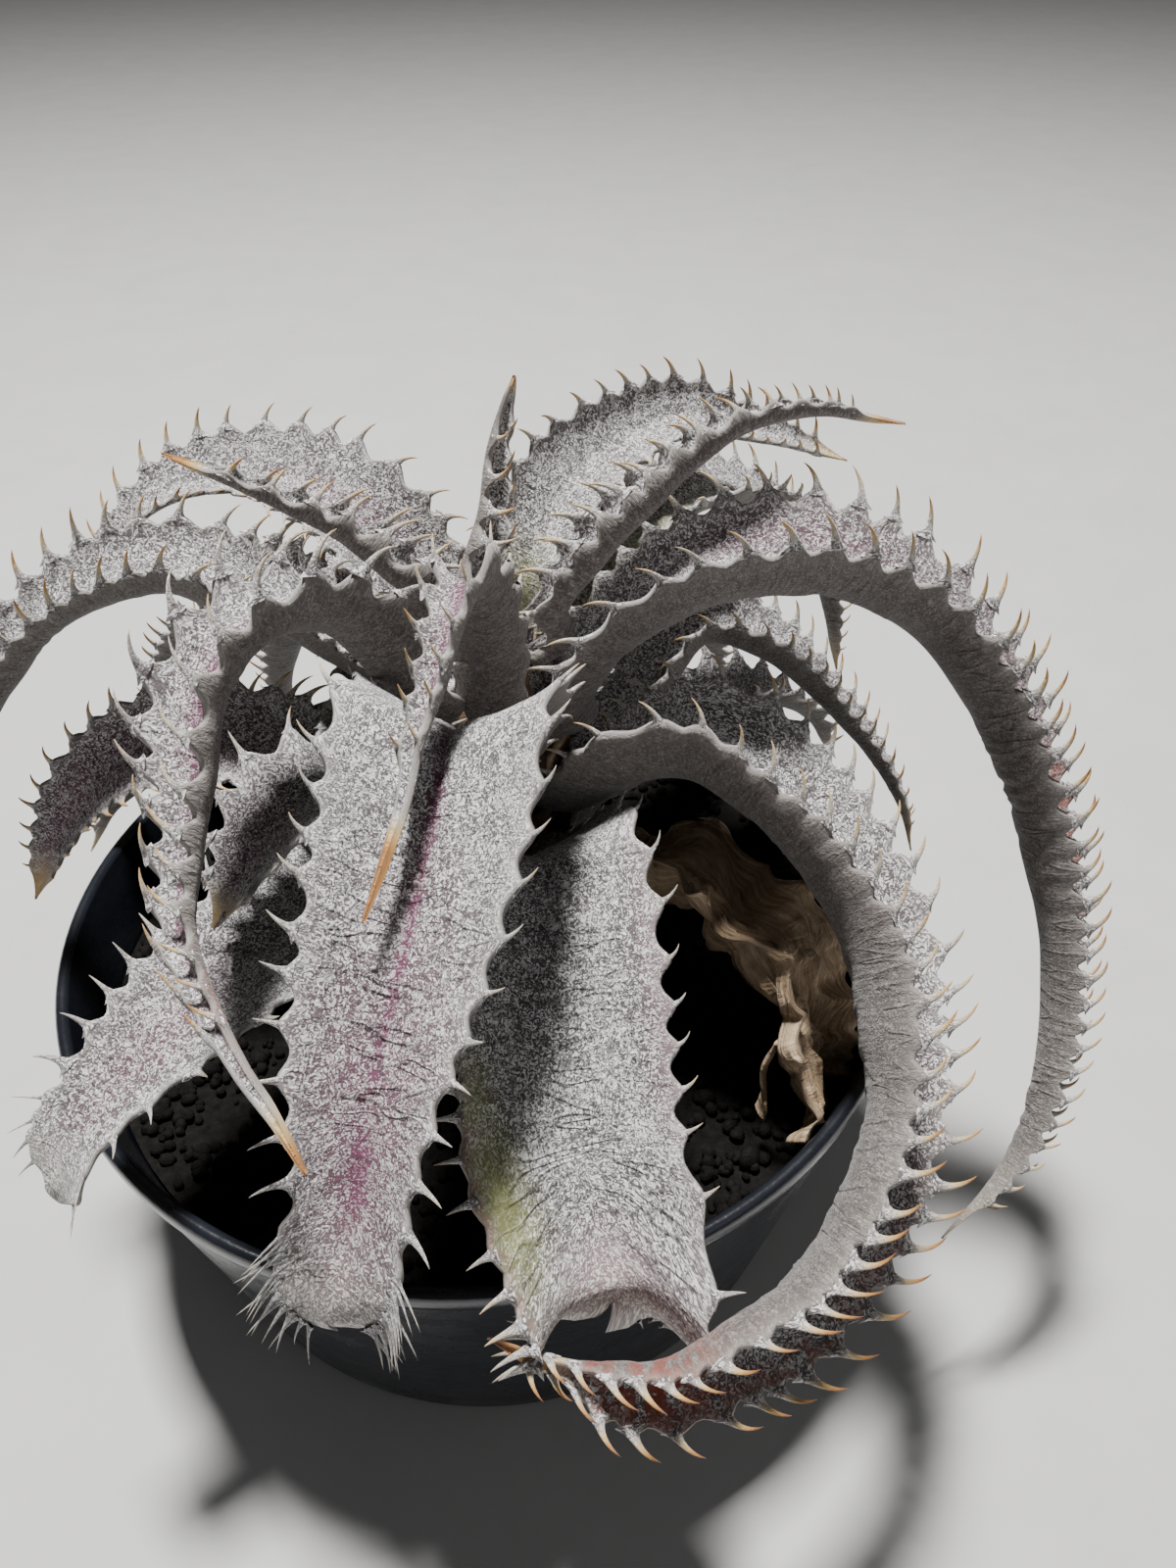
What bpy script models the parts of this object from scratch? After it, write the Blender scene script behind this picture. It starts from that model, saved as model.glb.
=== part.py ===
"""A dyckia, a spiny silver bromeliad, growing in a round black pot.

Blender 4.5 script, metres, +Z up. The origin is the centre of the pot's underside, and -Y is the
front. Leaf routes are written in millimetres, because they are read against a ruler.
"""

import math

import bmesh
import bpy
import numpy as np
from mathutils.bvhtree import BVHTree

MM = 0.001
GAP = 0.3  # clearance between neighbouring pieces, in mm

# Pot, in mm
RIM_RADIUS = 75.0
POT_HEIGHT = 69.5
FOOT_RADIUS = 61.0
WALL = 2.4
FLOOR = 4.0
LIP_WIDTH = 0.8
LIP_HEIGHT = 5.0
LIP_ROUND = 0.8
DRAIN_RADIUS = 4.0
DRAIN_RING = 30.0
DRAINS = 4
DRAIN_SIDES = 16
POT_SIDES = 64

# Soil, in mm
SOIL_TOP = 54.0
SOIL_MOUND = 60.0
SOIL_MOUND_RADIUS = 24.0
SOIL_BOTTOM = FLOOR + GAP

# Stem, in mm
STEM_X = 3.0
STEM_Y = 8.0
STEM_ROOT = 40.0
STEM_TOP = 124.0
STEM_RADIUS = 9.0
STEM_TIP_RADIUS = 4.0
STEM_DRAW = 22.0  # how far below the top it starts to narrow
STEM_SIDES = 20

# Leaf blade, in mm
ACROSS = 4
EDGE_THICK = 0.9
MID_THICK = 2.6
TIP_THICK = 0.7
TIP_HALF_WIDTH = 0.55
TIP_REACH = 3.5
LEAST_RINGS = 7
SEAT_GAP = 0.85
SEAT_RUN = 5.0
SEAT_RISE = 3.0
CLASP_SHARE = 0.3  # the blade's width at the stem, as a share of its widest
CLASP_GROWTH = 2.8  # how fast it widens from there, in widths for the whole length

# Spines on the blade's margins, in mm
SPINE_PITCH = 9.0
SPINE_LENGTH = 7.0
SPINE_WAIST = 0.8
SPINE_HALF_DEPTH = 0.42
SPINE_WAIST_AT = 0.36  # how far out the waist sits, as a share of the length
SPINE_HOOK = 0.75  # how far the tip leans along the margin, as a share of the length
BARE_SHARE = 0.14  # no spines on this share of the leaf, where it clasps the stem
LEAST_ROOM = 0.62  # no spine where a tight bend leaves less than this share of the pitch

# name: direction on the stem in degrees, height of the seat, widest half width, how late it tapers,
# the points that the midrib passes, roll at base, middle and tip in degrees, half angle of the
# channel at base, middle and tip, and how far the spines lean, minus being back to the base.
LEAVES = {
    "leaf_front_left": (-98, 99, 15.6, 3.2,
        [(2, -11, 111), (2, -15, 120), (1, -21, 127), (0, -28, 130), (-1, -39, 125), (-4, -54, 116),
         (-7, -66, 107), (-9, -76, 97), (-12, -84, 87), (-12, -86, 78), (-10, -81, 72)],
        (0, 0, 0), (50, 38, 40), (-0.6, 0.7)),
    "leaf_front_right": (-64, 83, 14.6, 14.0,
        [(8, -13, 91), (10, -20, 101), (12, -28, 106), (14, -37, 103), (15, -46, 98), (16, -55, 92),
         (17, -63, 87),
         (20, -71, 82), (22, -78, 78), (22, -79, 73)],
        (0, 0, 0), (45, 28, 30), (-0.5, 0.4)),
    "leaf_left_hook": (-152, 107, 11.0, 2.0,
        [(-8, -4, 118), (-13, -6, 129), (-18, -9, 136), (-23, -14, 139), (-28, -21, 138), (-31, -29, 134),
         (-31, -38, 128), (-31, -47, 123), (-30, -55, 120), (-26, -63, 118), (-20, -72, 117),
         (-15, -78, 116), (-11, -83, 113)],
        (0, 20, 10), (55, 78, 80), (-0.8, -0.6)),
    "leaf_right_arch": (-5, 105, 17.0, 1.7,
        [(17, 3, 116), (25, 4, 126), (37, 6, 132), (50, 8, 133), (60, 8, 131), (71, 6, 126), (79, 2, 118),
         (86, -3, 108), (92, -9, 95), (96, -16, 81), (97, -24, 68), (95, -33, 57), (90, -41, 47),
         (79, -49, 38)],
        (0, 14, 10), (60, 75, 80), (-0.8, -0.6)),
    "leaf_right_sweep": (-20, 92, 18.3, 3.0,
        [(20, -6, 102), (28, -10, 111), (37, -13, 113), (46, -20, 109), (54, -28, 103), (59, -37, 96),
         (60, -46, 90), (60, -54, 84), (57, -62, 79), (52, -69, 74), (46, -75, 71), (38, -80, 70),
         (30, -84, 68), (22, -85, 69), (14, -84, 71), (6, -82, 73)],
        (0, -27, -15), (55, 80, 70), (-0.7, -0.7)),
    "leaf_right_back": (18, 77, 9.4, 2.3,
        [(18, 12, 86), (28, 19, 99), (38, 26, 111), (50, 26, 109), (61, 25, 100), (71, 23, 89),
         (79, 19, 78), (82, 15, 68)],
        (0, 0, 0), (50, 55, 50), (-0.7, -0.6)),
    "leaf_centre_front": (-84, 112, 10.0, 0.9,
        [(4, -4, 125), (4, -7, 136), (3, -12, 144), (1, -20, 143), (-1, -28, 138), (-3, -35, 134),
         (-4, -42, 130), (-6, -49, 126), (-8, -55, 122)],
        (0, 0, 0), (60, 60, 70), (-0.6, -0.2)),
    "leaf_spear": (110, 120, 4.2, 1.6,
        [(1, 12, 130), (4, 16, 139), (5, 20, 148), (8, 24, 158)],
        (0, 0, 0), (80, 80, 80), (0.5, 0.5)),
    "leaf_back_right_fan": (76, 114, 8.5, 2.0,
        [(8, 20, 126), (13, 27, 135), (19, 34, 140), (27, 39, 143), (36, 44, 144), (45, 46, 141),
         (56, 48, 137), (66, 49, 133)],
        (0, 5, 0), (55, 45, 60), (-0.4, -0.4)),
    "leaf_slender_right": (16, 117, 4.6, 1.6,
        [(13, 9, 127), (20, 11, 136), (27, 14, 142), (34, 18, 147), (41, 21, 151), (48, 24, 152),
         (56, 26, 152), (63, 28, 150), (70, 30, 148)],
        (0, -20, 0), (80, 80, 80), (-0.5, -0.4)),
    "leaf_behind_right": (48, 101, 9.5, 2.0,
        [(13, 21, 111), (22, 29, 123), (32, 36, 130), (43, 43, 130), (54, 50, 124), (63, 54, 112),
         (69, 57, 96), (73, 58, 80)],
        (0, -10, 0), (50, 50, 50), (-0.6, -0.6)),
    "leaf_back_left_fan": (142, 108, 10.5, 2.0,
        [(-8, 18, 119), (-14, 22, 129), (-21, 26, 136), (-32, 31, 139), (-43, 31, 139), (-53, 28, 136),
         (-60, 24, 130), (-65, 18, 123)],
        (0, -15, 0), (50, 38, 50), (-0.6, -0.6)),
    "leaf_slender_left": (178, 115, 4.5, 1.4,
        [(-7, 10, 128), (-12, 10, 134), (-18, 11, 139), (-26, 10, 144), (-34, 10, 148), (-43, 10, 152)],
        (20, 20, 0), (80, 80, 80), (-0.4, -0.4)),
    "leaf_left_wide": (171, 99, 11.3, 2.3,
        [(-14, 13, 109), (-24, 12, 120), (-34, 9, 128), (-45, 8, 133), (-55, 5, 132), (-65, 1, 127),
         (-73, -3, 118), (-79, -7, 107), (-82, -12, 96)],
        (0, 18, 10), (50, 70, 70), (-0.5, -0.5)),
    "leaf_left_hanging": (-179, 83, 9.5, 2.6,
        [(-15, 4, 91), (-26, 1, 100), (-38, 0, 107), (-51, -2, 108), (-62, -4, 102), (-70, -7, 92),
         (-76, -10, 80)],
        (0, -30, -60), (50, 36, 50), (-0.5, -0.5)),
    "leaf_low_left": (-140, 76, 14.0, 3.0,
        [(-12, -10, 83), (-21, -20, 90), (-30, -32, 92), (-38, -43, 91), (-45, -52, 89), (-52, -60, 85),
         (-56, -64, 78)],
        (0, 0, 0), (45, 32, 40), (-0.5, 0.5)),
    "leaf_mid_left": (-136, 90, 13.5, 2.6,
        [(-11, -7, 99), (-17, -13, 107), (-22, -18, 111), (-27, -24, 110), (-31, -30, 106),
         (-35, -36, 101)],
        (0, 0, 0), (50, 38, 40), (-0.5, 0.5)),
    "leaf_back_right": (80, 78, 11.5, 2.0,
        [(6, 26, 86), (17, 39, 97), (30, 49, 101), (38, 60, 98), (44, 70, 85), (47, 76, 70), (46, 78, 56)],
        (0, 0, 0), (50, 40, 50), (-0.6, -0.6)),
    "leaf_back_centre": (94, 94, 12.5, 2.0,
        [(2, 23, 104), (1, 37, 112), (0, 52, 112), (0, 66, 103), (-2, 78, 89), (-3, 84, 73), (-2, 83, 59)],
        (0, 0, 0), (50, 40, 50), (-0.6, -0.6)),
    "leaf_back_left": (124, 82, 12.0, 2.0,
        [(-8, 21, 92), (-18, 34, 101), (-28, 47, 103), (-38, 57, 96), (-46, 65, 83), (-51, 70, 69),
         (-51, 71, 56)],
        (0, 0, 0), (50, 40, 50), (-0.6, -0.6)),
    "leaf_left_back": (148, 90, 12.0, 2.0,
        [(-11, 22, 100), (-22, 30, 108), (-38, 36, 111), (-52, 43, 104), (-63, 48, 92), (-70, 51, 76),
         (-71, 50, 62)],
        (0, 0, 0), (50, 50, 50), (-0.6, -0.6)),
    "leaf_right_under": (32, 70, 11.0, 2.0,
        [(16, 17, 78), (28, 26, 87), (42, 34, 91), (55, 40, 88), (66, 45, 78), (72, 47, 66)],
        (0, 0, 0), (50, 45, 50), (-0.6, -0.6)),
    "leaf_left_under": (166, 72, 11.0, 2.0,
        [(-15, 13, 79), (-30, 17, 88), (-46, 18, 91), (-60, 19, 86), (-72, 19, 77), (-79, 17, 66)],
        (0, 0, 0), (50, 45, 50), (-0.6, -0.6)),
    "leaf_dry": (-38, 70, 10.5, 3.0,
        [(19, -3, 75), (27, -9, 84), (35, -16, 90), (43, -23, 88), (50, -30, 80), (54, -36, 70),
         (55, -39, 62)],
        (0, -20, -25), (50, 45, 40), (-0.4, -0.4)),
}


def stem_radius(z):
    """The stem's radius at a height: straight, then drawn in to its growing tip."""
    into_tip = min(1.0, max(0.0, (z - STEM_TOP + STEM_DRAW) / STEM_DRAW))
    return STEM_RADIUS + (STEM_TIP_RADIUS - STEM_RADIUS) * into_tip


def smooth_route(points, count):
    """Evenly spaced points on a Catmull-Rom curve through the given ones."""
    p = np.array(points, float)
    p = np.vstack([2 * p[0] - p[1], p, 2 * p[-1] - p[-2]])
    fine = []
    for i in range(1, len(p) - 2):
        for t in np.linspace(0, 1, 24, endpoint=False):
            a, b, c, d = p[i - 1], p[i], p[i + 1], p[i + 2]
            fine.append(0.5 * (2 * b + (c - a) * t + (2 * a - 5 * b + 4 * c - d) * t**2
                               + (3 * b - a - 3 * c + d) * t**3))
    fine.append(p[-2])
    fine = np.array(fine)
    run = np.concatenate([[0], np.cumsum(np.linalg.norm(np.diff(fine, axis=0), axis=1))])
    even = np.linspace(0, run[-1], count)
    return np.stack([np.interp(even, run, fine[:, k]) for k in range(3)], axis=1), run[-1]


def unit(v):
    return v / max(np.linalg.norm(v), 1e-12)


def frames_along(route, first_side):
    """Tangents and sideways vectors that turn as little as they can along the route."""
    tangents = np.gradient(route, axis=0)
    tangents = np.array([unit(t) for t in tangents])
    side = unit(first_side - tangents[0] * (first_side @ tangents[0]))
    sides = [side]
    for t in tangents[1:]:
        side = unit(side - t * (side @ t))
        sides.append(side)
    return tangents, np.array(sides)


def rolled(sides, tangents, degrees):
    turned = []
    for s, t, d in zip(sides, tangents, np.radians(degrees)):
        turned.append(s * math.cos(d) + np.cross(t, s) * math.sin(d))
    return np.array(turned)


def half_width(share, widest, taper):
    """Narrow where it clasps the stem, widest at a fifth of the way, then a long taper."""
    return widest * min(1.0, CLASP_SHARE + CLASP_GROWTH * share) * (1 - 0.97 * share**taper)


def blend3(share, three):
    base, middle, tip = three
    if share < 0.5:
        return base + (middle - base) * share / 0.5
    return middle + (tip - middle) * (share - 0.5) / 0.5


def leaf_rows(seat, widest, taper, points, roll, channel, rings):
    """Rows of points on the upper and lower face of a leaf, with what the spines need."""
    route, length = smooth_route([seat] + points, rings)
    outward = np.array([seat[0] - STEM_X, seat[1] - STEM_Y, 0.0])
    tangents, sides = frames_along(route, np.cross([0, 0, 1], outward))
    share = np.linspace(0, 1, rings)
    sides = rolled(sides, tangents, np.array([blend3(t, roll) for t in share]))
    ups = np.cross(tangents, sides)
    across = np.linspace(-1, 1, ACROSS + 1)
    upper, lower = [], []
    for i in range(rings):
        half = max(half_width(share[i], widest, taper), TIP_HALF_WIDTH)
        phi = math.radians(blend3(share[i], channel))
        edge = EDGE_THICK + (TIP_THICK - EDGE_THICK) * share[i]
        middle = MID_THICK + (TIP_THICK - MID_THICK) * share[i] ** 1.5
        for rows, deep in ((upper, 0.0), (lower, 1.0)):
            row = []
            for u in across:
                x = half * math.sin(u * phi) / phi
                y = half * (1 - math.cos(u * phi)) / phi
                thick = deep * (edge + (middle - edge) * (1 - u * u))
                x += math.sin(u * phi) * thick
                y -= math.cos(u * phi) * thick
                row.append(route[i] + sides[i] * x + ups[i] * y)
            rows.append(row)
    return np.array(upper), np.array(lower), tangents, share, length / (rings - 1)


def crossing_spines(verts, faces, owners):
    """The spines whose faces cut through other faces of the same leaf."""
    tree = BVHTree.FromPolygons(verts, faces)
    found = set()
    for a, b in tree.overlap(tree):
        if not set(faces[a]) & set(faces[b]):
            found |= {owners[a], owners[b]}
    return found - {None}


def leaf_mesh(name, spec):
    """The leaf's mesh, with the spines left out that would cut through it in a tight bend."""
    bare = set()
    while True:
        verts, faces, owners = leaf_faces(spec, bare)
        more = crossing_spines(verts, faces, owners)
        if not more:
            break
        bare |= more
    mesh = bpy.data.meshes.new(name)
    mesh.from_pydata(verts, [], faces)
    body = bmesh.new()
    body.from_mesh(mesh)
    bmesh.ops.recalc_face_normals(body, faces=body.faces)
    if body.calc_volume(signed=True) < 0:
        bmesh.ops.reverse_faces(body, faces=body.faces)
    body.to_mesh(mesh)
    body.free()
    return mesh


def leaf_faces(spec, bare):
    direction, seat_height, widest, taper, points, roll, channel, lean = spec
    angle = math.radians(direction)
    reach = stem_radius(seat_height) + SEAT_GAP
    seat = (STEM_X + reach * math.cos(angle), STEM_Y + reach * math.sin(angle), seat_height)
    out = (reach + SEAT_RUN) / reach
    clear = (STEM_X + (seat[0] - STEM_X) * out, STEM_Y + (seat[1] - STEM_Y) * out,
             seat_height + SEAT_RISE)
    points = [clear] + points
    length = smooth_route([seat] + points, 2)[1]
    rings = max(LEAST_RINGS, round(length / SPINE_PITCH) + 1)
    upper, lower, tangents, share, pitch = leaf_rows(seat, widest, taper, points, roll, channel, rings)
    verts, faces, owners = [], [], []

    def vertex(p):
        verts.append(tuple(p * MM))
        return len(verts) - 1

    up_id = [[vertex(p) for p in row] for row in upper]
    low_id = [[vertex(p) for p in row] for row in lower]
    for i in range(rings - 1):
        for j in range(ACROSS):
            for ids, flip in ((up_id, False), (low_id, True)):
                a, b, c, d = ids[i][j], ids[i][j + 1], ids[i + 1][j + 1], ids[i + 1][j]
                two = [(a, b, c), (a, c, d)]
                faces += [t[::-1] for t in two] if flip else two
    owners += [None] * len(faces)
    for j, sign in ((0, -1), (ACROSS, 1)):
        for i in range(rings - 1):
            ring = [up_id[i][j], up_id[i + 1][j], low_id[i + 1][j], low_id[i][j]]
            corner = [np.array(verts[k]) / MM for k in ring]
            room = min(np.linalg.norm(corner[0] - corner[1]), np.linalg.norm(corner[3] - corner[2]))
            if share[i] < BARE_SHARE or room < LEAST_ROOM * pitch or (j, i) in bare:
                faces += [(ring[0], ring[1], ring[2]), (ring[0], ring[2], ring[3])]
                owners += [None] * 2
                continue
            size = SPINE_LENGTH * min(1.0, 0.25 + 4 * share[i]) * (1.0 - 0.55 * share[i] ** 3)
            centre = np.mean(corner, axis=0)
            t = unit(tangents[i] + tangents[i + 1])
            outer = unit((upper[i][j] - upper[i][j - sign]) + (upper[i + 1][j] - upper[i + 1][j - sign]))
            outer = unit(outer - t * (outer @ t))
            thick = unit(np.cross(t, outer))
            back = t * np.interp(share[i], [0, 1], lean)
            waist = centre + outer * size * SPINE_WAIST_AT + back * size * SPINE_HOOK * SPINE_WAIST_AT**2
            tip = centre + outer * size + back * size * SPINE_HOOK
            upward = math.copysign(SPINE_HALF_DEPTH, (corner[0] - corner[3]) @ thick)
            mid = []
            for along, deep in ((-1, 1), (1, 1), (1, -1), (-1, -1)):
                mid.append(vertex(waist + t * along * SPINE_WAIST + thick * deep * upward))
            point = vertex(tip)
            for k in range(4):
                a, b = ring[k], ring[(k + 1) % 4]
                c, d = mid[(k + 1) % 4], mid[k]
                faces += [(a, b, c), (a, c, d), (d, c, point)]
                owners += [(j, i)] * 3
    for j in range(ACROSS):
        a, b, c, d = up_id[0][j], up_id[0][j + 1], low_id[0][j + 1], low_id[0][j]
        faces += [(a, b, c), (a, c, d)]
    end = np.mean([upper[-1][0], upper[-1][-1], lower[-1][ACROSS // 2]], axis=0)
    tip = vertex(end + tangents[-1] * TIP_REACH)
    loop = up_id[-1] + low_id[-1][::-1]
    faces += [(loop[k], loop[(k + 1) % len(loop)], tip) for k in range(len(loop))]
    owners += [None] * (len(faces) - len(owners))
    return verts, faces, owners


def material(name, colour, roughness, metallic=0.0):
    made = bpy.data.materials.new(name)
    made.use_nodes = True
    shader = made.node_tree.nodes["Principled BSDF"]
    shader.inputs["Base Color"].default_value = (*colour, 1)
    shader.inputs["Roughness"].default_value = roughness
    shader.inputs["Metallic"].default_value = metallic
    return made


def placed(name, mesh, finish):
    made = bpy.data.objects.new(name, mesh)
    bpy.context.scene.collection.objects.link(made)
    mesh.materials.append(finish)
    return made


def turned(name, profile, sides, finish, centre=(0.0, 0.0)):
    """A solid turned about an upright axis from a closed profile of (radius, height) in mm."""
    body = bmesh.new()
    ends = [body.verts.new((r * MM, 0, z * MM)) for r, z in profile]
    edges = [body.edges.new((ends[i], ends[(i + 1) % len(ends)])) for i in range(len(ends) - 1)]
    bmesh.ops.spin(body, geom=ends + edges, axis=(0, 0, 1), cent=(0, 0, 0), angle=2 * math.pi,
                   steps=sides, use_merge=True)
    bmesh.ops.remove_doubles(body, verts=body.verts, dist=1e-5)
    bmesh.ops.recalc_face_normals(body, faces=body.faces)
    mesh = bpy.data.meshes.new(name)
    body.to_mesh(mesh)
    body.free()
    made = placed(name, mesh, finish)
    made.location = (centre[0] * MM, centre[1] * MM, 0)
    return made


def pot_outer(z):
    """The pot's outer radius at a height: a straight taper from foot to rim."""
    return FOOT_RADIUS + (RIM_RADIUS - FOOT_RADIUS) * z / POT_HEIGHT


def pot_inner(z):
    return pot_outer(z) - WALL


def bore(target, x, y, radius, low, high, sides):
    """Takes an upright round hole out of a solid. Sizes in mm."""
    body = bmesh.new()
    bmesh.ops.create_cone(body, cap_ends=True, segments=sides, radius1=radius * MM, radius2=radius * MM,
                          depth=(high - low) * MM)
    mesh = bpy.data.meshes.new("drill")
    body.to_mesh(mesh)
    body.free()
    drill = bpy.data.objects.new("drill", mesh)
    drill.location = (x * MM, y * MM, (low + high) / 2 * MM)
    bpy.context.scene.collection.objects.link(drill)
    cut = target.modifiers.new("bore", "BOOLEAN")
    cut.operation = "DIFFERENCE"
    cut.solver = "EXACT"
    cut.object = drill
    bpy.context.view_layer.update()
    result = target.evaluated_get(bpy.context.evaluated_depsgraph_get())
    bored = bpy.data.meshes.new_from_object(result)
    bored.name = target.name
    target.modifiers.clear()
    target.data = bored
    bpy.data.objects.remove(drill, do_unlink=True)


def main():
    for old in list(bpy.data.objects):
        bpy.data.objects.remove(old, do_unlink=True)
    silver = material("leaf_silver", (0.62, 0.6, 0.6), 0.8)
    tan = material("leaf_tan", (0.36, 0.25, 0.17), 0.85)
    black = material("pot_black", (0.012, 0.013, 0.016), 0.22)
    dark = material("soil_dark", (0.02, 0.018, 0.016), 0.95)
    brown = material("stem_brown", (0.12, 0.09, 0.06), 0.9)

    for name, spec in LEAVES.items():
        placed(name, leaf_mesh(name, spec), tan if name == "leaf_dry" else silver)

    turned("stem", [(0, STEM_ROOT), (STEM_RADIUS, STEM_ROOT), (STEM_RADIUS, STEM_TOP - STEM_DRAW),
                    (STEM_TIP_RADIUS, STEM_TOP), (0, STEM_TOP + 1)], STEM_SIDES, brown, (STEM_X, STEM_Y))

    lip_foot = POT_HEIGHT - LIP_HEIGHT
    pot = turned("pot", [(0, 0), (FOOT_RADIUS, 0), (pot_outer(lip_foot), lip_foot),
                         (pot_outer(lip_foot) + LIP_WIDTH, lip_foot + LIP_WIDTH),
                         (RIM_RADIUS, POT_HEIGHT - LIP_ROUND), (RIM_RADIUS - LIP_ROUND, POT_HEIGHT),
                         (RIM_RADIUS - WALL, POT_HEIGHT), (pot_inner(lip_foot), lip_foot),
                         (pot_inner(FLOOR), FLOOR), (0, FLOOR)], POT_SIDES, black)
    for k in range(DRAINS):
        angle = 2 * math.pi * (k + 0.5) / DRAINS
        x, y = DRAIN_RING * math.cos(angle), DRAIN_RING * math.sin(angle)
        bore(pot, x, y, DRAIN_RADIUS, -FLOOR, 2 * FLOOR, DRAIN_SIDES)

    soil = turned("soil", [(0, SOIL_MOUND), (SOIL_MOUND_RADIUS, SOIL_TOP + 1),
                           (pot_inner(SOIL_TOP) - GAP, SOIL_TOP),
                           (pot_inner(SOIL_BOTTOM) - GAP, SOIL_BOTTOM), (0, SOIL_BOTTOM)],
                  POT_SIDES, dark)
    bore(soil, STEM_X, STEM_Y, STEM_RADIUS + GAP, STEM_ROOT - GAP, 2 * SOIL_MOUND, STEM_SIDES)


main()
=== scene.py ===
from collections import namedtuple
from itertools import product
from math import cos, hypot, pi, radians, sin, sqrt

import bpy
import numpy as np
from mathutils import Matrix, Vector


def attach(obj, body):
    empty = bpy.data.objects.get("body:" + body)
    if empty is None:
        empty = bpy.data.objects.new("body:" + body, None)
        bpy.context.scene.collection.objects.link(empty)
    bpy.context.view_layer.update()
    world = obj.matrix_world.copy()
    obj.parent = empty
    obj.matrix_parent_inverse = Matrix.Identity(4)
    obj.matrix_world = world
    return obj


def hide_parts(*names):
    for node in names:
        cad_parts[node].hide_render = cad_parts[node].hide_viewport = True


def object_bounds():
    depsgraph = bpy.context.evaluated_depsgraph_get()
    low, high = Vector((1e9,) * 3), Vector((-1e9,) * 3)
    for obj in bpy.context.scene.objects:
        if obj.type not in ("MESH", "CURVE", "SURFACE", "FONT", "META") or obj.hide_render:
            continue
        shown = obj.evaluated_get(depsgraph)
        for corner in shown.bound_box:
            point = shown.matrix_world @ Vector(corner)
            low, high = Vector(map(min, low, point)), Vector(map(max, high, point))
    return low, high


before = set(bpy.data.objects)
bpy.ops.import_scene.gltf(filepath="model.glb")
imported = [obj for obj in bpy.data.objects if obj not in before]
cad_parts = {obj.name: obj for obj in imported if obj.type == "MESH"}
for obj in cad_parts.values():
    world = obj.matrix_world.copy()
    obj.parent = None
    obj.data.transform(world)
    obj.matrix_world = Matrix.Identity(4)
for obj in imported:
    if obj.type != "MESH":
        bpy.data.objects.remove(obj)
cad_low, cad_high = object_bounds()

# Sizes are in mm up to Pile.piece. Places along a leaf are shares, from 0 at its seat to 1 at its tip.
MM = 0.001

# pot, soil and stem, as in the solids
RIM_RADIUS, POT_HEIGHT, FOOT_RADIUS, WALL, FLOOR = 75.0, 69.5, 61.0, 2.4, 4.0
DRAIN_HOLES, DRAIN_RADIUS, DRAIN_RING, DRAIN_TURN = 4, 4.0, 30.0, 45
SOIL_TOP, SOIL_MOUND, SOIL_MOUND_RADIUS = 54.0, 60.0, 24.0
STEM_X, STEM_Y, STEM_ROOT, STEM_TOP, STEM_DRAW = 3.0, 8.0, 40.0, 124.0, 22.0
STEM_RADIUS, STEM_TIP_RADIUS = 9.0, 4.0

# only in the scene
AXIS_RADIUS = 0.001  # how close to the pot's axis its turned floor goes
SOIL_GAP, SOIL_BUMP = 0.4, 1.3  # gap to the wall, and how much the surface goes up and down
GRAINS, GRAIN_SIZE, BIG_GRAIN, BIG_GRAIN_SHARE = 2800, (0.7, 1.6), 1.5, 0.08
OLD_BASES, OLD_BASE_TURN, OLD_BASE_FIRST, OLD_BASE_RISE = 46, 2.39996, 58, 0.75
OLD_BASE_TALL, OLD_BASE_WIDE, OLD_BASE_FLARE = (7, 13), (3.0, 4.6), 4.2

# leaves: the gap from stem to seat, and the first stretch out and up from there
SEAT_GAP, SEAT_RUN, SEAT_RISE = 0.85, 5.0, 3.0
EDGE_THICK, MID_THICK, TIP_THICK = 0.9, 2.6, 0.7
LEAST_HALF_WIDTH = 0.5
RING_PITCH, ACROSS = 0.6, 26  # the grid over a leaf: its pitch along, and its quads across
HIDDEN_RING_PITCH, HIDDEN_ACROSS = 1.1, 14  # and over the leaves that the photo doesn't show
HIDDEN = ("back_centre", "back_left", "back_right", "left_back", "left_under",
          "right_under")

# the common spine, how far it starts inside the margin, and where its row starts and stops
SPINE_PITCH, SPINE_LENGTH, SPINE_ROOT = 6.2, 7.2, 0.9
SPINES_FROM, SPINES_STOP = 0.07, 1.5  # a share of the leaf, and mm before its tip
SPINE_STEPS, SPINE_SIDES = 9, 8

# the withered leaf: half width, and half the angle that it's folded by in degrees, along it
DRY_LEAF = "dry"
DRY_SHARE, DRY_HALF, DRY_FOLD = (0, 0.15, 0.45, 0.75, 1), (4.5, 6.5, 9, 11, 9.5), (60, 80, 95, 75, 45)
STRIP_DROP, STRIP_SHIFT, STRIP_THICK = 17.0, (-3.5, -1.5), 0.5  # the ribbon torn from it

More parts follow.
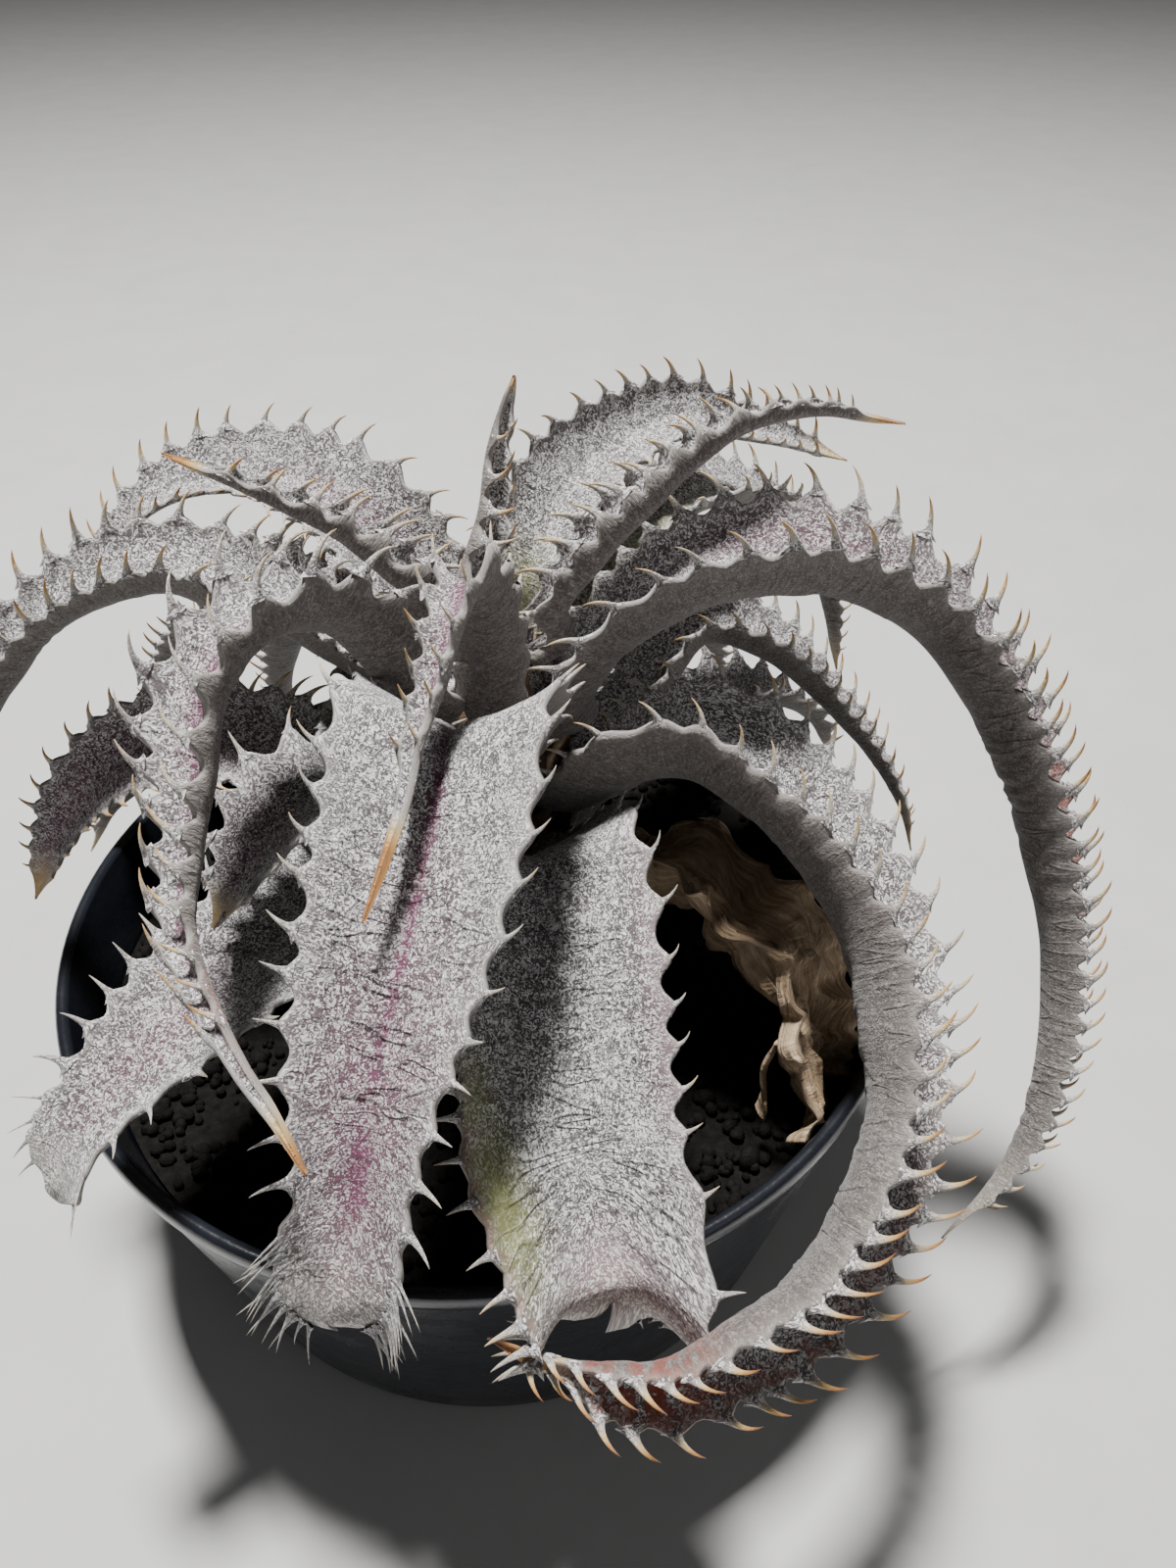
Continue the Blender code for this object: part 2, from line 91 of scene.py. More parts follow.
# name: direction on the stem in degrees, height of the seat, widest half width, how late it tapers,
# the points that the midrib passes, roll at base, middle and tip in degrees, half angle of the
# channel at base, middle and tip, and how far the spines lean, minus being back to the base.
# front_left stops a little earlier than its solid, where the leaf is folded shut.
LEAVES = {
    "front_left": (-98, 99, 15.6, 3.2,
     [(2, -11, 111), (2, -15, 120), (1, -21, 127), (0, -28, 130), (-1, -39, 125), (-4, -54, 116),
     (-7, -66, 107), (-9, -76, 97), (-12, -84, 87), (-12.5, -86.5, 81.5)],
     (0, 0, 0), (50, 38, 40), (-0.6, 0.7)),
    "front_right": (-64, 83, 14.6, 14.0,
     [(8, -13, 91), (10, -20, 101), (12, -28, 106), (14, -37, 103), (15, -46, 98), (16, -55, 92),
     (17, -63, 87), (20, -71, 82), (22, -78, 78), (22, -79, 73)],
     (0, 0, 0), (45, 28, 30), (-0.5, 0.4)),
    "left_hook": (-152, 107, 11.0, 2.0,
     [(-8, -4, 118), (-13, -6, 129), (-18, -9, 136), (-23, -14, 139), (-28, -21, 138), (-31, -29, 134),
     (-31, -38, 128), (-31, -47, 123), (-30, -55, 120), (-26, -63, 118), (-20, -72, 117),
     (-15, -78, 116), (-11, -83, 113)],
     (0, 20, 10), (55, 78, 80), (-0.8, -0.6)),
    "right_arch": (-5, 105, 17.0, 1.7,
     [(17, 3, 116), (25, 4, 126), (37, 6, 132), (50, 8, 133), (60, 8, 131), (71, 6, 126), (79, 2, 118),
     (86, -3, 108), (92, -9, 95), (96, -16, 81), (97, -24, 68), (95, -33, 57), (90, -41, 47),
     (79, -49, 38)],
     (0, 14, 10), (60, 75, 80), (-0.8, -0.6)),
    "right_sweep": (-20, 92, 18.3, 3.0,
     [(20, -6, 102), (28, -10, 111), (37, -13, 113), (46, -20, 109), (54, -28, 103), (59, -37, 96),
     (60, -46, 90), (60, -54, 84), (57, -62, 79), (52, -69, 74), (46, -75, 71), (38, -80, 70),
     (30, -84, 68), (22, -85, 69), (14, -84, 71), (6, -82, 73)],
     (0, -27, -15), (55, 80, 70), (-0.7, -0.7)),
    "right_back": (18, 77, 9.4, 2.3,
     [(18, 12, 86), (28, 19, 99), (38, 26, 111), (50, 26, 109), (61, 25, 100), (71, 23, 89),
     (79, 19, 78), (82, 15, 68)],
     (0, 0, 0), (50, 55, 50), (-0.7, -0.6)),
    "centre_front": (-84, 112, 10.0, 0.9,
     [(4, -4, 125), (4, -7, 136), (3, -12, 144), (1, -20, 143), (-1, -28, 138), (-3, -35, 134),
     (-4, -42, 130), (-6, -49, 126), (-8, -55, 122)],
     (0, 0, 0), (60, 60, 70), (-0.6, -0.2)),
    "spear": (110, 120, 4.2, 1.6,
     [(1, 12, 130), (4, 16, 139), (5, 20, 148), (8, 24, 158)],
     (0, 0, 0), (80, 80, 80), (0.5, 0.5)),
    "back_right_fan": (76, 114, 8.5, 2.0,
     [(8, 20, 126), (13, 27, 135), (19, 34, 140), (27, 39, 143), (36, 44, 144), (45, 46, 141),
     (56, 48, 137), (66, 49, 133)],
     (0, 5, 0), (55, 45, 60), (-0.4, -0.4)),
    "slender_right": (16, 117, 4.6, 1.6,
     [(13, 9, 127), (20, 11, 136), (27, 14, 142), (34, 18, 147), (41, 21, 151), (48, 24, 152),
     (56, 26, 152), (63, 28, 150), (70, 30, 148)],
     (0, -20, 0), (80, 80, 80), (-0.5, -0.4)),
    "behind_right": (48, 101, 9.5, 2.0,
     [(13, 21, 111), (22, 29, 123), (32, 36, 130), (43, 43, 130), (54, 50, 124), (63, 54, 112),
     (69, 57, 96), (73, 58, 80)],
     (0, -10, 0), (50, 50, 50), (-0.6, -0.6)),
    "back_left_fan": (142, 108, 10.5, 2.0,
     [(-8, 18, 119), (-14, 22, 129), (-21, 26, 136), (-32, 31, 139), (-43, 31, 139), (-53, 28, 136),
     (-60, 24, 130), (-65, 18, 123)],
     (0, -15, 0), (50, 38, 50), (-0.6, -0.6)),
    "slender_left": (178, 115, 4.5, 1.4,
     [(-7, 10, 128), (-12, 10, 134), (-18, 11, 139), (-26, 10, 144), (-34, 10, 148), (-43, 10, 152)],
     (20, 20, 0), (80, 80, 80), (-0.4, -0.4)),
    "left_wide": (171, 99, 11.3, 2.3,
     [(-14, 13, 109), (-24, 12, 120), (-34, 9, 128), (-45, 8, 133), (-55, 5, 132), (-65, 1, 127),
     (-73, -3, 118), (-79, -7, 107), (-82, -12, 96)],
     (0, 18, 10), (50, 70, 70), (-0.5, -0.5)),
    "left_hanging": (-179, 83, 9.5, 2.6,
     [(-15, 4, 91), (-26, 1, 100), (-38, 0, 107), (-51, -2, 108), (-62, -4, 102), (-70, -7, 92),
     (-76, -10, 80)],
     (0, -30, -60), (50, 36, 50), (-0.5, -0.5)),
    "low_left": (-140, 76, 14.0, 3.0,
     [(-12, -10, 83), (-21, -20, 90), (-30, -32, 92), (-38, -43, 91), (-45, -52, 89), (-52, -60, 85),
     (-56, -64, 78)],
     (0, 0, 0), (45, 32, 40), (-0.5, 0.5)),
    "mid_left": (-136, 90, 13.5, 2.6,
     [(-11, -7, 99), (-17, -13, 107), (-22, -18, 111), (-27, -24, 110), (-31, -30, 106),
     (-35, -36, 101)],
     (0, 0, 0), (50, 38, 40), (-0.5, 0.5)),
    "back_right": (80, 78, 11.5, 2.0,
     [(6, 26, 86), (17, 39, 97), (30, 49, 101), (38, 60, 98), (44, 70, 85), (47, 76, 70), (46, 78, 56)],
     (0, 0, 0), (50, 40, 50), (-0.6, -0.6)),
    "back_centre": (94, 94, 12.5, 2.0,
     [(2, 23, 104), (1, 37, 112), (0, 52, 112), (0, 66, 103), (-2, 78, 89), (-3, 84, 73), (-2, 83, 59)],
     (0, 0, 0), (50, 40, 50), (-0.6, -0.6)),
    "back_left": (124, 82, 12.0, 2.0,
     [(-8, 21, 92), (-18, 34, 101), (-28, 47, 103), (-38, 57, 96), (-46, 65, 83), (-51, 70, 69),
     (-51, 71, 56)],
     (0, 0, 0), (50, 40, 50), (-0.6, -0.6)),
    "left_back": (148, 90, 12.0, 2.0,
     [(-11, 22, 100), (-22, 30, 108), (-38, 36, 111), (-52, 43, 104), (-63, 48, 92), (-70, 51, 76),
     (-71, 50, 62)],
     (0, 0, 0), (50, 50, 50), (-0.6, -0.6)),
    "right_under": (32, 70, 11.0, 2.0,
     [(16, 17, 78), (28, 26, 87), (42, 34, 91), (55, 40, 88), (66, 45, 78), (72, 47, 66)],
     (0, 0, 0), (50, 45, 50), (-0.6, -0.6)),
    "left_under": (166, 72, 11.0, 2.0,
     [(-15, 13, 79), (-30, 17, 88), (-46, 18, 91), (-60, 19, 86), (-72, 19, 77), (-79, 17, 66)],
     (0, 0, 0), (50, 45, 50), (-0.6, -0.6)),
    "dry": (-38, 70, 10.5, 3.0,
     [(19, -3, 75), (27, -9, 84), (35, -16, 90), (43, -23, 88), (50, -30, 80), (54, -36, 70),
     (55, -39, 62)],
     (0, -20, -25), (50, 45, 40), (-0.4, -0.4)),
}

# broad folded ends: half width, droop of the corners, how far the left corner, the middle and the
# right corner run on, and where the fringe of fine spines starts and its share of the common spacing
Broad = namedtuple("Broad", "half droop run fringe_from fringe_pitch")
BROAD = {
    "front_left": Broad(7.6, 4.5, (2.0, -3.0, 1.0), 0.87, 0.18),
    "front_right": Broad(11.0, 5.5, (8.0, -3.0, 12.0), 0.93, 0.18),
    "low_left": Broad(6.0, 2.5, (0.5, -0.5, 2.0), 0.87, 0.6),
}
# this leaf's right hand margin ends in long spines like fingers
FINGER_LEAF, FINGERS_FROM, FINGER_PITCH, FINGER_LENGTH = "front_right", 0.62, 0.62, 1.5

# blades drawn finer than their solids at the end: places along, and the most half width there
FINE = {
    "centre_front": ((0, 0.22, 0.42, 0.6, 0.74, 0.86, 1), (8, 6.2, 3.9, 2.1, 1.1, 0.5, 0.12)),
    "left_hook": ((0, 0.5, 0.62, 0.72, 0.8, 0.88, 1), (12, 7.5, 4.2, 2.5, 1.5, 0.8, 0.15)),
    "right_sweep": ((0, 0.86, 0.905, 0.93, 1), (19, 9.0, 5.5, 1.5, 0.5)),
    "right_arch": ((0, 0.8, 0.93, 1), (19, 10, 2.4, 0.5)),
    "spear": ((0, 0.7, 0.88, 1), (5, 3, 1.0, 0.15)),
    "slender_right": ((0, 0.8, 1), (5, 3, 0.15)),
    "slender_left": ((0, 0.75, 1), (5, 3, 0.15)),
}
# where a fine tip turns amber, and how far it goes towards brown
AMBER = {"centre_front": (0.83, 0.78), "left_hook": (0.92, 0.8), "right_sweep": (0.925, 1.0),
         "spear": (0.93, 0.7)}
COMMON_AMBER = (0.88, 0.7)
FAINT_AMBER = ("right_arch", "left_wide")
# depth of the groove along the midrib
GROOVE, COMMON_GROOVE = {"front_left": 1.5, "centre_front": 0.8}, 0.55
# how wrinkled the skin is, and how much painted shade darkens its creases, at the base, just past the middle
# and at the tip
WRINKLED = {"front_left": (0.0, 0.7, 1.0), "front_right": (0.3, 0.9, 1.0), "right_sweep": (0.5, 0.6, 0.7),
            "right_arch": (0.6, 0.9, 0.9), "left_hook": (0.6, 0.5, 0.5)}
COMMON_WRINKLES = (0.2, 0.3, 0.4)

# leaf paint: each patch is its place along and across the leaf, its reach along and across, and
# its strength. Across runs from -1 to 1, and minus is the right hand looking from the stem.
FLUSH = {
    "front_left": [(0.84, 0.0, 0.08, 0.25, 1.0), (0.55, 0.0, 0.3, 0.06, 0.9),
                        (0.8, 0.1, 0.18, 0.8, 0.45)],
    "left_hook": [(0.5, 0.1, 0.14, 0.45, 0.95), (0.72, 0.1, 0.1, 0.4, 0.7)],
    "centre_front": [(0.42, 0.3, 0.22, 0.6, 1.0)],
    "right_arch": [(0.5, 0.35, 0.1, 0.5, 0.8), (0.3, 0.6, 0.1, 0.3, 0.3)],
    "right_sweep": [(0.35, -0.95, 0.2, 0.12, 0.7), (0.55, 0.3, 0.1, 0.4, 0.3)],
    "left_hanging": [(0.75, 0.0, 0.3, 0.9, 0.45)],
    "front_right": [(0.95, 0.2, 0.05, 0.8, 0.4), (0.6, 0.98, 0.2, 0.15, 0.35)],
    "mid_left": [(0.8, 0.0, 0.2, 0.7, 0.35)],
    "low_left": [(0.75, 0.0, 0.2, 0.5, 0.25)],
    "back_left_fan": [(0.35, 0.0, 0.2, 0.4, 0.3)],
}
RUST = {
    "right_sweep": [(0.87, 0.0, 0.05, 1.2, 1.0), (0.95, -0.4, 0.05, 1.0, 1.0),
                         (0.76, 0.9, 0.1, 0.2, 0.5)],
    "right_arch": [(0.62, 0.9, 0.08, 0.25, 0.8)],
    "left_hanging": [(0.97, 0.0, 0.05, 1.0, 1.0)],
    "left_hook": [(0.85, 0.6, 0.08, 0.4, 0.7)],
    "front_right": [(0.82, -0.98, 0.15, 0.06, 0.5)],
}
GREEN = {
    "front_right": [(0.8, -0.8, 0.07, 0.25, 1.0), (0.7, -0.9, 0.06, 0.2, 0.6)],
    "back_right_fan": [(0.12, 0.0, 0.08, 0.8, 0.8)],
    "behind_right": [(0.25, -0.5, 0.15, 0.5, 0.6)],
}

# spines that aren't the common ones: places along the leaf, how far each leans towards the tip
# in radians, and its length as a share of the common one
SPINES = {
    "front_left": ((0, 0.3, 0.55, 0.72, 0.84, 0.86, 1), (-1.2, -1.3, -0.9, 0.2, 0.6, 0.75, 1.45),
                        (0.85, 0.55, 0.45, 0.5, 0.65, 0.75, 1.0)),
    "front_right": ((0, 0.35, 0.6, 0.8, 0.92, 1), (-1.2, -1.1, -1.1, -0.6, 0.6, 1.3),
                         (0.7, 0.45, 0.36, 0.4, 0.5, 0.5)),
    "low_left": ((0, 0.5, 0.8, 1), (-1.0, -0.6, 0.5, 1.4), (0.6, 0.6, 0.6, 0.6)),
    "mid_left": ((0, 0.5, 0.8, 1), (-1.0, -0.6, 0.5, 1.0), (0.6, 0.6, 0.6, 0.5)),
    "right_sweep": ((0, 0.4, 0.7, 1), (-1.2, -1.1, -1.2, -1.3), (0.6, 0.62, 0.78, 0.62)),
    "right_arch": ((0, 0.4, 0.7, 1), (-1.0, -1.0, -1.5, -1.2), (0.7, 0.78, 0.66, 0.35)),
    "left_hook": ((0, 0.3, 0.6, 1), (-1.0, -1.4, -1.2, -0.7), (0.6, 0.92, 0.62, 0.4)),
    "left_wide": ((0, 1), (-0.8, -0.8), (0.75, 0.6)),
    "back_right_fan": ((0, 1), (-0.7, -0.9), (0.68, 0.5)),
    "back_left_fan": ((0, 1), (-0.8, -0.9), (0.65, 0.5)),
    "centre_front": ((0, 0.3, 1), (-1.2, -0.9, -0.4), (0.7, 0.5, 0.3)),
}
# how ripe the spines are at three places along the leaf: pale, then amber, then brown
RIPE_PLACES, COMMON_RIPE = (0.1, 0.5, 0.8), (0.4, 0.55, 0.9)
RIPE = {"front_left": (0.35, 0.2, 0.1), "front_right": (0.3, 0.15, 0.25), "low_left": (0.3, 0.2, 0.2),
        "mid_left": (0.3, 0.3, 0.3), "right_sweep": (0.35, 0.6, 1.25), "right_arch": (0.3, 0.9, 0.75),
        "left_hook": (0.35, 0.35, 0.8), "left_hanging": (0.5, 0.6, 1.1)}
# spines that stand closer together than the common ones, as a share of the common spacing
CLOSE = {
    "left_wide": 0.7, "back_left_fan": 0.78, "back_right_fan": 0.7,
    "right_back": 0.72, "behind_right": 0.75, "left_hanging": 0.7,
    "slender_right": 0.85, "right_arch": 0.88, "right_sweep": 0.74,
    "left_back": 0.8, "back_left": 0.85, "back_right": 0.85, "back_centre": 0.85,
}

# colours
BLACK, WHITE = (0, 0, 0), (1, 1, 1)
SCURF, BARE_SKIN = (0.84, 0.83, 0.83), (0.075, 0.063, 0.068)
# the lower side's scales are darker than the top's: partly their own colour, partly painted shade
SHADED_UNDER_SCURF, UNDER_SKIN = (0.38, 0.355, 0.335), (0.075, 0.062, 0.056)
# the second colour on the next line is painted shade, laid into the leaf's creases
MARGIN, CREASE_SHADE = (0.74, 0.70, 0.64), (0.03, 0.024, 0.026)
PURPLE_SKIN, PURPLE_VEIL = (0.15, 0.022, 0.075), (0.10, 0.03, 0.06)
GREEN_SKIN, RUST_SKIN = (0.33, 0.36, 0.10), (0.22, 0.035, 0.012)
SPINE_STOPS = [(0.0, (0.78, 0.74, 0.66)), (0.35, (0.68, 0.50, 0.24)), (0.68, (0.50, 0.23, 0.055)),
               (1.0, (0.13, 0.035, 0.012))]
DRY_STOPS = [(0.3, (0.11, 0.062, 0.032)), (0.48, (0.34, 0.235, 0.14)), (0.7, (0.64, 0.51, 0.37))]
DRY_CLOUD, DRY_SPOT = (0.5, 0.39, 0.27), (0.08, 0.045, 0.03)
POT_STOPS = [(0.3, (0.006, 0.007, 0.010)), (0.7, (0.014, 0.016, 0.022))]

# the studio: lamps and camera in metres, watts and degrees
LIT_POINT = (0, 0, 0.1)
KEY_PLACE, KEY_SIZE, KEY_POWER, KEY_COLOUR = (-0.12, 0.19, 1.3), 0.17, 43, (1.0, 0.985, 0.96)
FILL_PLACE, FILL_SIZE, FILL_POWER = (0.9, -0.9, 0.8), 1.2, 1.6
WORLD_STRENGTH = 0.07
CAMERA_PLACE, CAMERA_TILT, CAMERA_LENS, CAMERA_SENSOR = (0.019, -0.152, 0.225), 50, 27.0, 36.0


# ---- noise, routes and grids

LATTICE_SIDE = 256
LATTICE = np.random.default_rng(11).random((LATTICE_SIDE, LATTICE_SIDE))


def soft_noise(x, y, shift=0):
    """Smooth random values from 0 to 1 over a plane, one bump for each unit."""
    x, y = np.asarray(x, float) + 37.0 * shift, np.asarray(y, float) + 91.0 * shift
    xi, yi = np.floor(x).astype(int), np.floor(y).astype(int)
    fx, fy = x - xi, y - yi
    fx, fy = fx * fx * (3 - 2 * fx), fy * fy * (3 - 2 * fy)
    near_x, far_x = xi % LATTICE_SIDE, (xi + 1) % LATTICE_SIDE
    near_y, far_y = yi % LATTICE_SIDE, (yi + 1) % LATTICE_SIDE
    near_row = LATTICE[near_x, near_y] * (1 - fx) + LATTICE[far_x, near_y] * fx
    far_row = LATTICE[near_x, far_y] * (1 - fx) + LATTICE[far_x, far_y] * fx
    return near_row * (1 - fy) + far_row * fy


def unit(v):
    return v / np.maximum(np.linalg.norm(v, axis=-1, keepdims=True), 1e-12)


def step_up(share, start, reach):
    """0 before the start, 1 once the reach is passed, and a straight slope between."""
    return np.clip((share - start) / reach, 0, 1)


def blend3(share, three):
    """Values along the leaf from those at its base, middle and tip."""
    return np.interp(share, [0, 0.5, 1], three)


def smooth_route(passes, pitch):
    """Places spaced evenly at about the pitch, on a Catmull-Rom curve through the given ones."""
    p = np.array(passes, float)
    p = np.vstack([2 * p[0] - p[1], p, 2 * p[-1] - p[-2]])
    t = np.linspace(0, 1, 24, endpoint=False)[:, None]
    fine = []
    for a, b, c, d in zip(p, p[1:], p[2:], p[3:]):
        fine.append(0.5 * (2 * b + (c - a) * t + (2 * a - 5 * b + 4 * c - d) * t**2
                           + (3 * b - a - 3 * c + d) * t**3))
    fine = np.vstack(fine + [p[-2:-1]])
    run = np.concatenate([[0], np.cumsum(np.linalg.norm(np.diff(fine, axis=0), axis=1))])
    even = np.linspace(0, run[-1], int(run[-1] / pitch) + 1)
    return np.stack([np.interp(even, run, fine[:, k]) for k in range(3)], axis=1), run[-1]


def points(x, y, z):
    """A list of places from grids of coordinates."""
    return np.stack([x, y, z], axis=-1).reshape(-1, 3)


def circle(sides):
    """The angles of a ring's vertices."""
    return np.linspace(0, 2 * pi, sides, endpoint=False)


def grid_faces(rows, columns, start=0, flip=False):
    """Quads over a grid of vertices numbered row by row."""
    i, j = np.meshgrid(np.arange(rows - 1), np.arange(columns - 1), indexing="ij")
    a = (start + i * columns + j).ravel()
    quads = np.stack([a, a + 1, a + columns + 1, a + columns], axis=1)
    return quads[:, ::-1] if flip else quads


def ring_faces(rows, sides, flip=False):
    """Quads over closed rings of vertices numbered ring by ring."""
    i, k = np.meshgrid(np.arange(rows - 1), np.arange(sides), indexing="ij")
    i, k = i.ravel(), k.ravel()
    nxt = (k + 1) % sides
    quads = np.stack([i * sides + k, i * sides + nxt, (i + 1) * sides + nxt, (i + 1) * sides + k], axis=1)
    return quads[:, [0, 3, 2, 1]] if flip else quads


def tube(path, wide_axis, wide, thick_axis, thick, turn):
    """Rings of vertices around a path, each an ellipse on its two axes."""
    return (path[:, None] + wide_axis[:, None] * (np.cos(turn)[None] * wide[:, None])[..., None]
            + thick_axis[:, None] * (np.sin(turn)[None] * thick[:, None])[..., None])


class Pile:
    """The vertices, faces and vertex layers that one mesh is made of."""

    def __init__(self):
        self.verts, self.faces, self.total = [], [], 0
        self.layers = {"paint": [], "grain": [], "tint": []}

    def add(self, verts, faces, **layers):
        """Add vertices, and faces that count from the first of them."""
        self.faces += [quads + self.total for quads in faces]
        self.verts.append(verts)
        self.total += len(verts)
        for key, values in layers.items():
            self.layers[key].append(values)

    def piece(self, name):
        """The object that shows the pile, with its layers as attributes."""
        mesh = bpy.data.meshes.new(name)
        mesh.from_pydata((np.vstack(self.verts) * MM).tolist(), [], np.vstack(self.faces).tolist())
        mesh.validate()
        mesh.shade_smooth()
        for key, values in self.layers.items():
            if values:
                kind, field = ("FLOAT_COLOR", "color") if key == "paint" else ("FLOAT_VECTOR", "vector")
                layer = mesh.attributes.new(key, kind, "POINT")
                layer.data.foreach_set(field, np.vstack(values).ravel())
        made = bpy.data.objects.new(name, mesh)
        bpy.context.scene.collection.objects.link(made)
        return made


# ---- leaves


def stem_radius(z):
    into_tip = min(1.0, max(0.0, (z - STEM_TOP + STEM_DRAW) / STEM_DRAW))
    return STEM_RADIUS + (STEM_TIP_RADIUS - STEM_RADIUS) * into_tip


def leaf_seat(direction, height):
    """Where a leaf starts at the stem, and the first point of its route, clear of the stem."""
    angle = radians(direction)
    reach = stem_radius(height) + SEAT_GAP
    seat = (STEM_X + reach * cos(angle), STEM_Y + reach * sin(angle), height)
    out = (reach + SEAT_RUN) / reach
    clear = (STEM_X + (seat[0] - STEM_X) * out, STEM_Y + (seat[1] - STEM_Y) * out, height + SEAT_RISE)
    return seat, clear


def leaf_frames(route, roll):
    """The tangent, the sideways and the upward direction at each point of a leaf's route."""
    tangents = unit(np.gradient(route, axis=0))
    side = np.cross([0, 0, 1], [route[0][0] - STEM_X, route[0][1] - STEM_Y, 0.0])
    sides = []
    for t in tangents:
        side = unit(side - t * (side @ t))
        sides.append(side)
    sides = np.array(sides)
    turn = np.radians(blend3(np.linspace(0, 1, len(route)), roll))[:, None]
    sides = sides * np.cos(turn) + np.cross(tangents, sides) * np.sin(turn)
    return tangents, sides, np.cross(tangents, sides)


def half_width(name, share, widest, taper):
    """Half the leaf's width along it."""
    if name == DRY_LEAF:
        return np.interp(share, DRY_SHARE, DRY_HALF) + 1.5 * (soft_noise(share * 9, share * 0, 2) - 0.5)
    half = widest * np.minimum(1.0, 0.3 + 2.8 * share) * (1 - 0.97 * share**taper)
    half = np.maximum(half, LEAST_HALF_WIDTH)
    if name in BROAD:
        rounded = np.sqrt(np.clip((1 - share) / 0.05, 0.005, 1))
        half = np.maximum(half, BROAD[name].half * rounded * (share > 0.6))
    else:
        half = half * (1 - 0.85 * step_up(share, 0.94, 0.06) ** 1.5)
    if name in FINE:
        half = np.minimum(half, np.interp(share, *FINE[name]))
    return half


class Leaf:
    """A leaf's route, the widths and folds along it, the grid over it and its spines' places."""

    def __init__(self, name, spec, number):
        direction, seat_height, widest, taper, passes, roll, channel, self.lean = spec
        self.name, self.number, self.dry = name, number, name == DRY_LEAF
        self.broad, self.close = BROAD.get(name), CLOSE.get(name, 1.0)
        self.dice = np.random.default_rng(number + 100)
        seat, clear = leaf_seat(direction, seat_height)
        pitch, quads = (HIDDEN_RING_PITCH, HIDDEN_ACROSS) if name in HIDDEN else (RING_PITCH, ACROSS)
        self.route, self.length = smooth_route([seat, clear] + passes, pitch)
        self.tangents, self.sides, self.ups = leaf_frames(self.route, roll)
        self.rings, self.columns = len(self.route), quads + 1
        self.share = np.linspace(0, 1, self.rings)
        self.along = self.share * self.length
        even = np.linspace(-1, 1, self.columns)
        self.across = 0.55 * even + 0.45 * np.sin(even * pi / 2)  # finer towards the margins
        self.half = half_width(name, self.share, widest, taper)
        fold = np.interp(self.share, DRY_SHARE, DRY_FOLD) if self.dry else blend3(self.share, channel)
        self.fold = np.radians(fold)
        self.mm_across = self.across[None] * self.half[:, None]
        self.mm_along = np.repeat(self.along[:, None], self.columns, axis=1)
        self.places = [(side, run) for side in (-1, 1) for run in self.spine_row(side)]

    def fingers(self, side, share):
        return self.name == FINGER_LEAF and side < 0 and share > FINGERS_FROM

    def spine_row(self, side):
        """How far along the leaf each spine of one margin stands, a little unevenly spaced."""
        row = []
        run = SPINES_FROM * self.length + self.dice.uniform(0, 3)
        while run < self.length - SPINES_STOP:
            share = run / self.length
            if self.half[min(self.rings - 1, int(share * self.rings))] > 1.0:
                row.append(run)
            shrink = (0.72 + 0.28 * (1 - share**3)) * self.close
            if self.broad and share > self.broad.fringe_from:
                shrink *= self.broad.fringe_pitch
            elif self.fingers(side, share):
                shrink *= FINGER_PITCH
            run += SPINE_PITCH * shrink * self.dice.uniform(0.82, 1.15) * (2.2 if self.dry else 1)
        return row

    def swell(self, side):
        """How far a margin swells at the spines and draws in between them, along the leaf."""
        mine = np.array([run for s, run in self.places if s == side] or [0.0])
        near = np.abs(self.along[:, None] - mine[None]).min(axis=1)
        size = np.minimum(1.0, 0.3 + 2 * self.share) * (1 - 0.6 * self.share**4)
        peak, dip = (1.2, 0.5) if self.broad else (2.0 * self.close**1.5, 0.9 * self.close)
        swell = peak * 0.5 * (1 + np.cos(pi * np.clip(near / 2.7, 0, 1))) ** 1.3
        swell = swell - dip * np.clip(near / 3.1, 0, 1) ** 2
        return swell * size * np.clip(self.half / 4.0, 0.15, 1)

    def noise(self, reach_along, reach_across, shift):
        return soft_noise(self.mm_along / reach_along, self.mm_across / reach_across, shift)

    def waves(self, reach_along, reach_across, shift):
        return self.noise(reach_along, reach_across, shift) - 0.5

    def pleats(self, reach_along, reach_across, shift):
        """Like waves, but with sharp valleys."""
        return np.abs(2 * self.noise(reach_along, reach_across, shift) - 1) - 0.4

    def patches(self, table):
        """The paint that a table gives this leaf, from 0 to 1 over its grid."""
        found = np.zeros((self.rings, self.columns))
        for s0, u0, ds, du, strength in table.get(self.name, ()):
            spot_along = np.exp(-(((self.share - s0) / ds) ** 2))[:, None]
            spot_across = np.exp(-(((self.across - u0) / du) ** 2))[None]
            found = np.maximum(found, strength * (spot_along * spot_across))
        return found


def living_relief(leaf):
    """How far the skin rises off a smooth channel, and how much painted shade darkens its creases."""
    number, share = leaf.number, leaf.share
    edge_fade = 1 - np.abs(leaf.across[None]) ** 6
    wrinkled = np.interp(share, [0, 0.55, 1], WRINKLED.get(leaf.name, COMMON_WRINKLES))[:, None]
    relief = 0.9 * leaf.waves(17, 9, number) + 0.5 * leaf.waves(6, 5, number + 50)
    bent = leaf.mm_along + 0.35 * np.abs(leaf.mm_across) + 1.6 * leaf.noise(9, 6, number + 20)
    ridge = 1 - np.abs(2 * soft_noise(bent / 1.5, leaf.mm_across / 7.5, number + 80) - 1)
    ridge = ridge * np.clip(1.6 * leaf.noise(14, 8, number + 60) - 0.25, 0, 1)
    relief += 0.8 * (ridge - 0.4) * edge_fade * wrinkled
    groove = GROOVE.get(leaf.name, COMMON_GROOVE)
    groove_wall = np.exp(-((leaf.mm_across / (0.8 + 0.4 * groove)) ** 2))
    relief -= groove * groove_wall * np.clip(1.2 - share, 0.2, 1)[:, None]
    # painted shade: how dark the creases are drawn, where the wrinkles would shadow them
    crease_shade = wrinkled * edge_fade * np.clip(2.4 * leaf.noise(9, 6, number + 33) - 0.55, 0, 1)
    return relief, crease_shade


